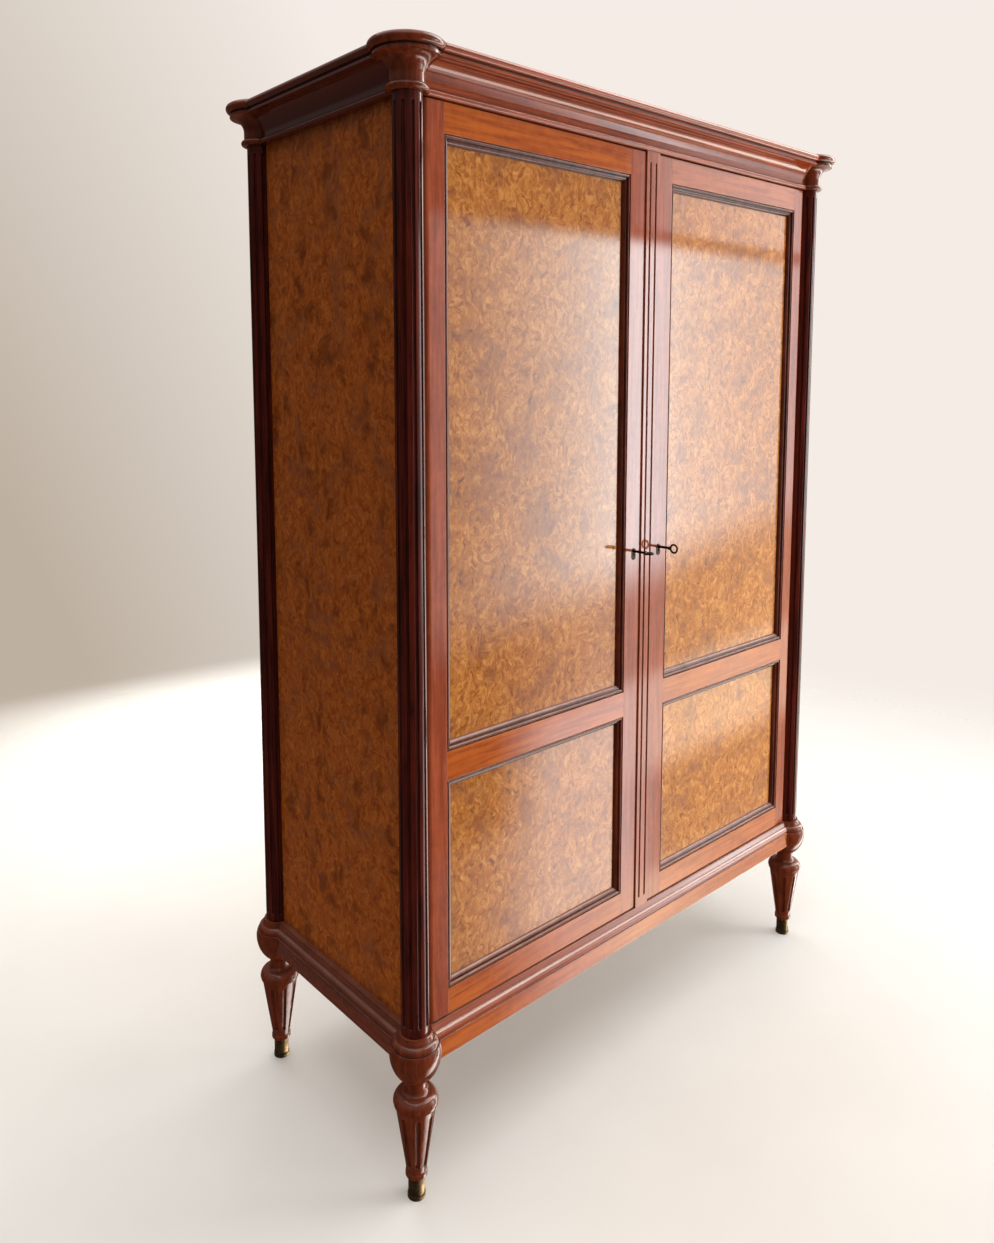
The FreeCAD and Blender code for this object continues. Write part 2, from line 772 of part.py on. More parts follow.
def make_base_rails():
    for end in (FRONT, BACK):
        name = "base_rail_" + END_NAMES[end]
        run = padded(name + "_run", "YZ_Plane", base_section(end, True), d.column_axis_x * 2)
        place(run, ZERO, d.column_axis_y * end, ZERO)
        tools = []
        for side in (LEFT, RIGHT):
            lip = f"{name}_lip_{SIDE_NAMES[side]}"
            wall = d.base_inner_back
            tools.append(corner_seat("foot", side, end, f"{name}_seat_{SIDE_NAMES[side]}"))
            tools.append(inner_corner(side, end, lip, d.bulb_radius, wall, base_rail_bottom, d.foot_height))
            if end == FRONT:
                tools += pivot_bores(side, f"base_{SIDE_NAMES[side]}_pivot")[1]
        body = cut(name + "_body", run, tools)
        tenons = [tenon(side, end, "x", f"{name}_tenon_{SIDE_NAMES[side]}", ZERO) for side in (LEFT, RIGHT)]
        node(join(name, [body] + tenons), name)
    for side in (LEFT, RIGHT):
        name = "base_rail_" + SIDE_NAMES[side]
        run = padded(name + "_run", "XZ_Plane", base_section(side, False), d.column_axis_y * 2)
        place(run, d.column_axis_x * side, ZERO, ZERO)
        tools = [corner_seat("foot", side, end, f"{name}_seat_{END_NAMES[end]}") for end in (FRONT, BACK)]
        body = cut(name + "_body", run, tools)
        tenons = [tenon(side, end, "y", f"{name}_tenon_{END_NAMES[end]}", ZERO) for end in (FRONT, BACK)]
        node(join(name, [body] + tenons), name)


# Boards of the case

def make_side_panel(side):
    name = "side_panel_" + SIDE_NAMES[side]
    x = span(side, side_panel_inner, side_panel_outer)
    reach = d.column_axis_y - d.column_radius + d.panel_in_column
    node(box(name, (x[0], -reach, d.foot_height), (x[1], reach, column_top)), name)


def make_back_boards():
    """Upright boards side by side between the back columns."""
    reach = d.column_axis_x - d.column_radius + d.panel_in_column
    count = SIZES["back_board_count"]
    pitch = reach * 2 / d.back_board_count
    boards = []
    for index in range(count):
        left = pitch * index - reach
        low = (left, back_board_front, d.foot_height)
        right = left + pitch - d.back_board_gap
        boards.append(box(f"back_board_{index + 1}", low, (right, back_board_back, column_top)))
    node(group("back_boards", boards), "back_boards")


def case_board(name, front, low, high, notched):
    """A level board between the side panels, cut round the back columns and, where asked, the centre post."""
    reach = side_panel_inner - d.board_fit
    blank = box(name + "_blank", (-reach, front, low), (reach, board_back, high))
    radius = d.column_radius + d.board_fit
    tools = []
    for side in (LEFT, RIGHT):
        start = (d.column_axis_x * side, d.column_axis_y, low)
        tools.append(rod(f"{name}_corner_{SIDE_NAMES[side]}", "z", start, radius, high - low))
    if notched:
        half = d.post_half_width + d.post_lip + d.board_fit
        back = door_back + d.door_stop_gap + d.post_lip_depth + d.board_fit
        tools.append(box(name + "_post_notch", (-half, front - d.cut_overrun, low), (half, back, high)))
    node(cut(name, blank, tools), name)


def make_floor_and_ceiling():
    case_board("floor_board", board_front, d.foot_height, floor_top, True)
    case_board("ceiling_board", board_front, ceiling_bottom, column_top, True)


def make_shelves():
    """Shelves at even heights, each lying on a cleat at either side."""
    front = -(d.column_axis_y - d.shelf_front_in)
    pitch = (ceiling_bottom - floor_top + d.shelf_thickness) / (d.shelf_count + 1)
    cleats = []
    for index in range(SIZES["shelf_count"]):
        under = floor_top + pitch * (index + 1) - d.shelf_thickness
        name = f"shelf_{index + 1}"
        case_board(name, front, under, under + d.shelf_thickness, False)
        for side in (LEFT, RIGHT):
            x = span(side, side_panel_inner - d.cleat_width, side_panel_inner)
            low = (x[0], front + d.cleat_end_in, under - d.cleat_height)
            high = (x[1], board_back - d.cleat_end_in, under)
            cleats.append(box(f"{name}_cleat_{SIDE_NAMES[side]}", low, high))
    node(group("shelf_cleats", cleats), "shelf_cleats")


def make_post():
    """The fixed post that stops the doors, and the fluted strip planted on it between them."""
    front = door_face - d.post_proud
    lip = door_back + d.door_stop_gap
    lip_half = d.post_half_width + d.post_lip
    low = (-lip_half, lip, d.foot_height)
    node(box("centre_post", low, (lip_half, lip + d.post_lip_depth, column_top)), "centre_post")
    low = (-d.post_half_width, front, d.foot_height)
    blank = box("post_strip_blank", low, (d.post_half_width, lip, column_top))
    tools = []
    for side in (LEFT, RIGHT):
        name = f"post_flute_{SIDE_NAMES[side]}"
        steps = flute_steps(d.post_flute_radius, d.post_flute_stop, d.column_length - d.post_flute_stop)
        place(turned(name, steps), d.post_flute_half_spacing * side, front, d.foot_height)
        tools.append(doc.getObject(name))
        x = span(side, d.post_half_width - d.bolt_throw, d.post_half_width + d.cut_overrun)
        bolt = bolt_box(side, f"bolt_mortise_{SIDE_NAMES[side]}", d.bolt_fit, x)
        tools.append(bolt)
    node(cut("post_strip", blank, tools), "post_strip")


# Doors

def make_hinge_stile(side):
    name = SIDE_NAMES[side] + "_hinge_stile"
    owner = doc.addObject("PartDesign::Body", name + "_blank")
    arris = d.hinge_arris
    section = sketch_in(owner, name + "_section", "XY_Plane", [
        (opening_outer * side, door_face),
        ((door_outer_edge - arris) * side, door_face),
        (door_outer_edge * side, door_face + arris, arris, -side),
        (door_outer_edge * side, door_back),
        (opening_outer * side, door_back),
    ])
    pad = owner.newObject("PartDesign::Pad", name + "_length")
    pad.Profile = section
    bind(pad, "Length", door_top - door_bottom)
    place(owner, ZERO, ZERO, door_bottom)
    tools = stile_tools(side, name, opening_outer, 1)
    recess = d.pivot_plate_thickness
    tools.append(pivot_plate(side, name + "_top_recess", door_top - recess, door_top))
    tools.append(pivot_plate(side, name + "_low_recess", door_bottom, door_bottom + recess))
    node(cut(name, owner, tools), name)


def stile_tools(side, name, edge, outwards):
    """Panel grooves and rail mortises of a stile whose inner edge lies at the given distance out."""
    tools = []
    near, far = sorted_span(edge, outwards, d.door_groove_depth)
    x = span(side, near, far)
    for part, low, high in (
        ("lower", lower_opening_bottom, lower_opening_top),
        ("upper", upper_opening_bottom, upper_opening_top),
    ):
        corner = (x[0], panel_face, low - d.door_groove_depth)
        tools.append(box(f"{name}_{part}_groove", corner, (x[1], panel_back, high + d.door_groove_depth)))
    near, far = sorted_span(edge, outwards, d.door_tenon_length + d.door_tenon_end_gap)
    x = span(side, near, far)
    for part, low, high in rail_levels():
        tools.append(tenon_box(f"{name}_{part}_mortise", x, low, high))
    return tools


def sorted_span(edge, outwards, depth):
    """Near and far distance of a slot that goes into a stile from its inner edge."""
    if outwards > 0:
        return edge - d.cut_overrun, edge + depth
    return edge - depth, edge + d.cut_overrun


def rail_levels():
    return (
        ("bottom", door_bottom, lower_opening_bottom),
        ("middle", lower_opening_top, upper_opening_bottom),
        ("top", upper_opening_top, door_top),
    )


def tenon_box(name, x, low, high):
    """The tenon of a door rail, in line with the panel groove."""
    middle = (panel_face + panel_back) / 2
    half = d.door_tenon_thickness / 2
    corner = (x[0], middle - half, low + d.door_tenon_shoulder)
    return box(name, corner, (x[1], middle + half, high - d.door_tenon_shoulder))


def make_lock_stile(side):
    name = SIDE_NAMES[side] + "_lock_stile"
    x = span(side, door_inner_edge, opening_inner)
    blank = box(name + "_blank", (x[0], door_face, door_bottom), (x[1], door_back, door_top))
    tools = stile_tools(side, name, opening_inner, -1)
    tools.append(case_box(side, name + "_case_recess", ZERO))
    tools += keyhole(side, name, door_face, door_back - d.case_depth)
    node(cut(name, blank, tools), name)


def make_rails(side):
    for part, low, high in rail_levels():
        name = f"{SIDE_NAMES[side]}_{part}_rail"
        x = span(side, opening_inner, opening_outer)
        blank = box(name + "_blank", (x[0], door_face, low), (x[1], door_back, high))
        tools = []
        for edge, inwards, has_panel in ((low, 1, part != "bottom"), (high, -1, part != "top")):
            if not has_panel:
                continue
            deep = edge + d.door_groove_depth * inwards
            past = edge - d.cut_overrun * inwards
            z = (past, deep) if inwards > 0 else (deep, past)
            corner = (x[0], panel_face, z[0])
            tools.append(box(f"{name}_groove_{len(tools)}", corner, (x[1], panel_back, z[1])))
        body = cut(name + "_body", blank, tools)
        reach = d.door_tenon_length
        x = span(side, opening_inner - reach, opening_outer + reach)
        node(join(name, [body, tenon_box(name + "_tenon", x, low, high)]), name)


def make_panels(side):
    reach = d.door_panel_in_groove
    x = span(side, opening_inner - reach, opening_outer + reach)
    for part, low, high in (
        ("lower", lower_opening_bottom, lower_opening_top),
        ("upper", upper_opening_bottom, upper_opening_top),
    ):
        name = f"{SIDE_NAMES[side]}_{part}_panel"
        node(box(name, (x[0], panel_face, low - reach), (x[1], panel_back, high + reach)), name)


def bead_steps():
    """Section of the panel moulding: distance in from the frame's edge against height over the panel."""
    seat = d.bead_seat
    bead_end = d.bead_quirk + d.bead_radius * 2
    step = seat - d.bead_step
    ovolo_start = bead_end + d.bead_step_width
    ovolo_end = d.bead_width - d.bead_edge_width
    return [
        (ZERO, ZERO),
        (ZERO, seat),
        (d.bead_quirk, seat),
        (d.bead_quirk + d.bead_radius, seat + d.bead_radius, d.bead_radius, 1),
        (bead_end, seat, d.bead_radius, 1),
        (bead_end, step),
        (ovolo_start, step),
        (ovolo_end, d.bead_edge, d.bead_ovolo_curve, 1),
        (d.bead_width, d.bead_edge),
        (d.bead_width, ZERO),
    ]


def stick(name, length, rotation, start):
    """One mitred stick of the panel moulding along its own Z axis."""
    owner = doc.addObject("PartDesign::Body", name + "_bar")
    section = sketch_in(owner, name + "_section", "XY_Plane", bead_steps())
    pad = owner.newObject("PartDesign::Pad", name + "_length")
    pad.Profile = section
    bind(pad, "Length", length)
    ends = sketch_in(owner, name + "_mitres", "XZ_Plane", [
        (ZERO, ZERO),
        (d.bead_width, d.bead_width),
        (d.bead_width, length - d.bead_width),
        (ZERO, length),
        (ZERO, length + d.cut_overrun),
        (d.bead_width + d.cut_overrun, length + d.cut_overrun),
        (d.bead_width + d.cut_overrun, -d.cut_overrun),
        (ZERO, -d.cut_overrun),
    ])
    pocket = owner.newObject("PartDesign::Pocket", name + "_mitre_cut")
    pocket.Profile = ends
    pocket.Type = 1
    pocket.Midplane = True
    owner.Placement = FreeCAD.Placement(FreeCAD.Vector(), rotation)
    return place(owner, *start)


def make_bead(side):
    """Mitred moulding round both panels of a door, seated on the panels against the frame."""
    name = SIDE_NAMES[side] + "_panel_mouldings"
    x_low, x_high = span(side, opening_inner, opening_outer)
    width = x_high - x_low
    sticks = []
    for part, low, high in (
        ("lower", lower_opening_bottom, lower_opening_top),
        ("upper", upper_opening_bottom, upper_opening_top),
    ):
        height = high - low
        for place_name, length, turn, start in (
            ("inner", height, STICK_TURNS["up_right"], (x_low, panel_face, high)),
            ("outer", height, STICK_TURNS["up_left"], (x_high, panel_face, low)),
            ("bottom", width, STICK_TURNS["along_low"], (x_low, panel_face, low)),
            ("top", width, STICK_TURNS["along_high"], (x_high, panel_face, high)),
        ):
            stick_name = f"{name}_{part}_{place_name}"
            sticks.append(stick(stick_name, length, turn, start))
    node(group(name, sticks), name)


def stick_turn(inwards, along):
    """Turns a stick so that its width runs inwards and its length along the frame's edge."""
    outwards = along.cross(inwards)
    matrix = FreeCAD.Matrix(
        inwards.x, outwards.x, along.x, 0,
        inwards.y, outwards.y, along.y, 0,
        inwards.z, outwards.z, along.z, 0,
        0, 0, 0, 1,
    )
    return FreeCAD.Placement(matrix).Rotation


X_AXIS = FreeCAD.Vector(1, 0, 0)
Z_AXIS = FreeCAD.Vector(0, 0, 1)
STICK_TURNS = {
    "up_right": stick_turn(X_AXIS, -Z_AXIS),
    "up_left": stick_turn(-X_AXIS, Z_AXIS),
    "along_low": stick_turn(Z_AXIS, X_AXIS),
    "along_high": stick_turn(-Z_AXIS, -X_AXIS),
}


# Pivot hinges

def make_pivots(side):
    """Plates with pins in the door's top and bottom edges."""
    name = SIDE_NAMES[side] + "_pivots"
    thick = d.pivot_plate_thickness
    plates = []
    top = pivot_plate(side, name + "_top_plate", door_top - thick, door_top)
    start = (pivot_x * side, pivot_y, door_top - thick)
    length = thick + d.door_top_gap + d.pivot_pin_depth
    plates.append(join(name + "_top", [top, rod(name + "_top_pin", "z", start, d.pivot_pin_radius, length)]))
    low = pivot_plate(side, name + "_low_plate", door_bottom, door_bottom + thick)
    length = thick + d.door_bottom_gap + d.pivot_pin_depth
    start = (pivot_x * side, pivot_y, door_bottom + thick - length)
    plates.append(join(name + "_low", [low, rod(name + "_low_pin", "z", start, d.pivot_pin_radius, length)]))
    node(group(name, plates), name)


def make_sockets():
    """Bored plates in the cornice and base rail that the door pins turn in."""
    plates = []
    thick = d.pivot_plate_thickness
    bore = d.pivot_pin_radius + d.pivot_pin_fit
    for side in (LEFT, RIGHT):
        for level, low in (("top", column_top), ("low", d.foot_height - thick)):
            name = f"{SIDE_NAMES[side]}_{level}_socket"
            plate = pivot_plate(side, name + "_plate", low, low + thick)
            hole = rod(name + "_hole", "z", (pivot_x * side, pivot_y, low), bore, thick)
            plates.append(cut(name, plate, [hole]))
    node(group("pivot_sockets", plates), "pivot_sockets")


# Locks and keys

def case_box(side, name, wall):
    """The lock case's outside, or its hollow when a wall is given."""
    x = span(side, door_inner_edge + wall, door_inner_edge + d.case_width - wall)
    low = (x[0], door_back - d.case_depth + wall, d.key_height - d.case_below + wall)
    return box(name, low, (x[1], door_back - wall, d.key_height + d.case_above - wall))


def bolt_box(side, name, room, x):
    """The bolt's section with room all round, between two X values."""
    middle = door_back - d.case_depth / 2
    low = d.key_height + d.bolt_rise
    corner = (x[0], middle - d.bolt_thickness / 2 - room, low - room)
    return box(name, corner, (x[1], middle + d.bolt_thickness / 2 + room, low + d.bolt_height + room))


def keyhole(side, name, front, back):
    """Round hole and slot that let the key through."""
    radius = d.key_shank_radius + d.key_hole_fit
    start = (key_x * side, front - d.cut_overrun, d.key_height)
    hole = rod(name + "_key_bore", "y", start, radius, back - front + d.cut_overrun * 2)
    half = d.key_bit_thickness / 2 + d.key_hole_fit
    low = (key_x * side - half, front - d.cut_overrun, d.key_height - d.key_bit_reach - d.key_hole_fit)
    slot = box(name + "_key_slot", low, (key_x * side + half, back + d.cut_overrun, d.key_height))
    return [hole, slot]


def make_lock(side):
    name = SIDE_NAMES[side] + "_lock_case"
    front = door_back - d.case_depth
    tools = [case_box(side, name + "_hollow", d.case_wall)]
    x = span(side, door_inner_edge - d.cut_overrun, door_inner_edge + d.case_wall + d.cut_overrun)
    tools.append(bolt_box(side, name + "_bolt_way", d.bolt_fit, x))
    tools += keyhole(side, name, front, front + d.case_wall)
    node(cut(name, case_box(side, name + "_outside", ZERO), tools), name)
    bolt_name = SIDE_NAMES[side] + "_bolt"
    tip = door_inner_edge + d.bolt_set_in
    node(bolt_box(side, bolt_name, ZERO, span(side, tip, tip + d.bolt_length)), bolt_name)


def make_escutcheon(side):
    """A thin keyhole plate on the stile's face, round above and below."""
    name = SIDE_NAMES[side] + "_escutcheon"
    thick = d.escutcheon_thickness
    front = door_face - thick
    low = d.key_height - d.escutcheon_drop
    radius = d.escutcheon_radius
    middle = key_x * side
    upper = rod(name + "_upper", "y", (middle, front, d.key_height), radius, thick)
    lower = rod(name + "_lower", "y", (middle, front, low), radius, thick)
    web = box(name + "_web", (middle - radius, front, low), (middle + radius, door_face, d.key_height))
    plate = join(name + "_plate", [upper, lower, web])
    node(cut(name, plate, keyhole(side, name, front, door_face)), name)


def make_key(side):
    """A key with a ring bow. The left one stands with its bow level, the right one upright."""
    name = SIDE_NAMES[side] + "_key"
    x = key_x * side
    out = door_face - d.key_shank_out
    end = door_back - d.case_wall - d.key_end_gap
    shank = rod(name + "_shank", "y", (x, out, d.key_height), d.key_shank_radius, end - out)
    collar = rod(name + "_collar", "y", (x, out, d.key_height), d.key_collar_radius, d.key_collar_length)
    bow = doc.addObject("Part::Torus", name + "_bow")
    bow.Placement = FreeCAD.Placement(FreeCAD.Vector(), TURNS["x" if side == RIGHT else "z"])
    bind(bow, "Radius1", d.key_bow_radius)
    bind(bow, "Radius2", d.key_bow_wire)
    place(bow, x, out - d.key_bow_radius, d.key_height)
    half = d.key_bit_thickness / 2
    bit_start = end - d.key_bit_length
    if side == RIGHT:
        corner = (x - half, bit_start, d.key_height - d.key_bit_reach)
        bit = box(name + "_bit", corner, (x + half, end, d.key_height))
    else:
        corner = (x - d.key_bit_reach, bit_start, d.key_height - half)
        bit = box(name + "_bit", corner, (x, end, d.key_height + half))
    node(join(name, [shank, collar, bow, bit]), name)


def make_door(side):
    make_hinge_stile(side)
    make_lock_stile(side)
    make_rails(side)
    make_panels(side)
    make_bead(side)
    make_pivots(side)
    make_lock(side)
    make_escutcheon(side)
    make_key(side)


def build():
    for side, end in CORNERS:
        make_foot(side, end)
        make_column(side, end)
        make_bell(side, end)
    sabots = [make_sabot(side, end) for side, end in CORNERS]
    node(group("brass_sabots", sabots), "brass_sabots")
    make_cornice()
    make_base_rails()
    for side in (LEFT, RIGHT):
        make_side_panel(side)
    make_back_boards()
    make_floor_and_ceiling()
    make_shelves()
    make_post()
    make_sockets()
    for side in (LEFT, RIGHT):
        make_door(side)
    doc.recompute()


def check():
    """Stops before anything is written if a feature failed or a piece has no sound solid."""
    for item in doc.Objects:
        if "Invalid" in item.State or "Error" in item.State:
            raise RuntimeError(f"{item.Label} did not build: {item.State}")
    for item in NODES:
        if item.Shape.isNull() or not item.Shape.isValid() or not item.Shape.Solids:
            raise RuntimeError(f"{item.Label} has no sound solid")


def write():
    os.makedirs("parts", exist_ok=True)
    for item in NODES:
        item.Shape.exportStep(os.path.join("parts", item.Label + ".step"))


build()
check()
write()
print(len(NODES), "pieces written")
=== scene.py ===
"""Gives the parts of a two-door linen press their finishes, and sets the stage round them."""

import math

import bpy
from mathutils import Matrix, Vector


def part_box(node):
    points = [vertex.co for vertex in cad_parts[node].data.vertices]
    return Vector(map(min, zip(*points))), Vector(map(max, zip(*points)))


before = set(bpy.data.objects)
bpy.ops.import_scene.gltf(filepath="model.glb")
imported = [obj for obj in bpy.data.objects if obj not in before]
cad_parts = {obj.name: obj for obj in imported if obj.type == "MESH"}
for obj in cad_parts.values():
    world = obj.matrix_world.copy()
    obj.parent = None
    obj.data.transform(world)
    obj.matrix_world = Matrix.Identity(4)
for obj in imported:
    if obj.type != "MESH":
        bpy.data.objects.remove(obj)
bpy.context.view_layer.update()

bl_info = {
    "name": "Linen Press",
    "version": (1, 0, 0),
    "blender": (4, 5, 0),
    "location": "3D View > Sidebar > Press",
    "description": "Finishes a polished mahogany linen press with burr veneer panels",
    "category": "Object",
}

SIDES = ("left", "right")
CORNERS = ("front_left", "front_right", "back_left", "back_right")
MM = 0.001

# Sockets of a Mix node that is set to colours, which share their names with its other kinds
MIX_A, MIX_B, MIXED = 6, 7, 2

# How far each axis is squeezed so that a pattern runs along the grain
GRAIN_STRETCH = {"x": (0.06, 1, 1), "y": (1, 0.06, 1), "z": (1, 1, 0.06)}

# Height of the moulded top edge of the base rails, and of the change of tone at its foot
MOULDING_DROP = 0.0225
MOULDING_BLUR = 1 * MM

# Sizes of patterns, in millimetres
# Real pores and pits are too fine to show in a render, so they are drawn coarser
MOTTLE_MM = 26
WEAR_MM = 60
OAK_RING_MM = 14
OAK_PORE_MM = 1.8
PIT_MM = 1.5
FLOOR_DRIFT_MM = 350

# French polish: its IOR, and the haze that use has given it
POLISH_IOR = 1.5
POLISH_HAZE = 0.06

# How much lighter wood is where its arrises are rubbed
RUBBED_GAIN = 1.12

# Burr: metres of log between two leaves, how far the grain is pulled round as a share of a swirl,
# how much of an eye is its core, and how many gaps between eyes a cluster spans
LEAF_STEP = 3.7
SWIRL_PULL = 1.6
EYE_CORE = 0.2
CLUSTER_SPAN = 3

# How much rougher metal is under its bloom
BLOOM_ROUGHNESS = 0.25

# Camera: sensor width in millimetres, and the shift that the picture's framing needs
SENSOR_WIDTH = 36
SHIFT = (0.01662, -0.11786)

# Floor: radius in metres, number of sides, distances over which it fades, tone of its dim drifts
FLOOR_RADIUS = 3.4
FLOOR_SIDES = 96
FLOOR_FADE = (1.3, 3.2)
FLOOR_DIM = 0.95

# Soft lamps: name, place, what each is aimed at, width, height and watts
LAMPS = (
    ("front_light", (0.6, -4.2, 0.45), (0, -0.2, 0.2), 2.5, 0.8, 50),
    ("ceiling_light", (0.1, -0.4, 3.6), (0.1, -0.3, 0), 4.6, 4.0, 115),
    ("right_light", (2.1, -1.8, 0.45), (0.4, -0.3, 0.35), 1.2, 0.7, 28),
    ("back_light", (0.5, 2.7, 0.7), (0.1, -0.4, 0), 2.6, 1.0, 65),
)
# The only one of them that shows in the polish
MIRRORED_LAMP = "ceiling_light"

# Window sheet: width and height in metres, middle, and strength of its glow
SHEET_SIZE = (6.4, 7.6)
SHEET_MIDDLE = (4.6, -3.5, 0.3)
SHEET_GLOW = 10.5

# Glow of the window sheet from left to right, as (place, share), from the bottom up:
# near floor, dim floor, lit floor, sill, panes, top bar, lintel and the wall above
WINDOW_BANDS = (
    ((0.0, 0.0), (0.18, 0.05), (0.3, 0.3), (0.42, 0.48), (0.6, 0.24), (0.75, 0.16), (1.0, 0.08)),
    ((0.0, 0.0), (0.1, 0.03), (0.18, 0.14), (0.27, 0.42), (0.38, 0.45), (0.48, 0.12), (1.0, 0.08)),
    ((0.0, 0.0), (0.19, 0.03), (0.27, 0.45), (0.38, 0.5), (0.5, 0.42), (0.62, 0.42), (1.0, 0.1)),
    ((0.0, 0.0), (0.18, 0.03), (0.35, 0.22), (0.5, 0.16), (0.7, 0.16), (1.0, 0.06)),
    (
        *((0.0, 0.03), (0.1, 0.13), (0.14, 0.18), (0.27, 0.5), (0.36, 0.8)),
        *((0.41, 1.0), (0.5, 0.6), (0.62, 0.42), (1.0, 0.1)),
    ),
    ((0.0, 0.02), (0.45, 0.05), (0.7, 0.08), (1.0, 0.06)),
    ((0.0, 0.02), (0.38, 0.05), (0.47, 0.3), (0.7, 0.32), (1.0, 0.06)),
    ((0.0, 0.02), (0.2, 0.1), (0.5, 0.2), (1.0, 0.1)),
)

# The sheet is cool in its panes, and low down, where it stands for the floor, warm past a place
PANE_TINT = (0.85, 0.97, 1.0)
PLAIN_TINT = (1.0, 1.0, 1.0)
WARM_TINT = (1.0, 0.9, 0.72)
WARM_PAST = 0.4
WINDOW_TINTS = (
    *((PLAIN_TINT, WARM_TINT),) * 4,
    (PANE_TINT, PANE_TINT),
    *((PLAIN_TINT, PLAIN_TINT),) * 3,
)

# Heights between which one band passes into the next, and the rise of that edge to the right,
# which turns about one place across
WINDOW_EDGES = (
    (-2.6, -2.4, 0.0),
    (-1.8, -1.5, 0.0),
    (-1.05, -0.85, 0.05),
    (-0.45, 0.1, 0.12),
    (2.32, 2.42, 0.0),
    (2.45, 2.5, 0.0),
    (3.0, 3.2, 0.0),
)
EDGE_PIVOT = 3

# Background: how much it brightens upwards as well as to the right, and the way to the side of the
# room that gives the most light
WALL_RISE = 0.45
ROOM_WAY = (0.98, -0.2, 0)

# Bright strips that only the polish mirrors: an upright one at the right, which the columns and
# bells catch, a level one low in front, which the cove catches, and a level one high up, which the
# upper sides of mouldings catch
# Each has the plane it is measured in, the way to it, where it starts to glow, how brightly and the
# heights between which it fades in
GLINTS = (
    ((1, 1, 0), (0.966, -0.259, 0), 0.975, 9.0, (-0.35, 0.05)),
    ((0, 1, 1), (0, -0.454, -0.891), 0.965, 13.0, (-1.2, -1.1)),
    ((0, 1, 1), (0, -0.55, 0.835), 0.98, 12.0, (-1.2, -1.1)),
)
# Where a strip glows fully, and how far to the right they all fade in
GLINT_FULL = 0.998
GLINT_FROM, GLINT_TO = 0.2, 0.5


def linear(code):
    """Turns an sRGB hex colour into linear red, green and blue."""
    parts = [int(code[i : i + 2], 16) / 255 for i in (1, 3, 5)]
    return tuple(
        p / 12.92 if p <= 0.04045 else ((p + 0.055) / 1.055) ** 2.4 for p in parts
    )


def per_metre(size_mm):
    """The texture scale at which one cell of a pattern is that many millimetres wide."""
    return 1 / (size_mm * MM)


def colour(label, words, code):
    """A colour that a user may change."""
    return bpy.props.FloatVectorProperty(
        name=label,
        description=words,
        subtype="COLOR",
        size=3,
        min=0,
        max=1,
        default=linear(code),
    )


def length(label, words, size_mm):
    """A length that a user may change, in metres."""
    return bpy.props.FloatProperty(
        name=label,
        description=words,
        subtype="DISTANCE",
        unit="LENGTH",
        min=0,
        precision=4,
        default=size_mm * MM,
    )


def angle(label, words, degrees):
    """An angle that a user may change."""
    return bpy.props.FloatProperty(
        name=label, description=words, subtype="ANGLE", default=math.radians(degrees)
    )


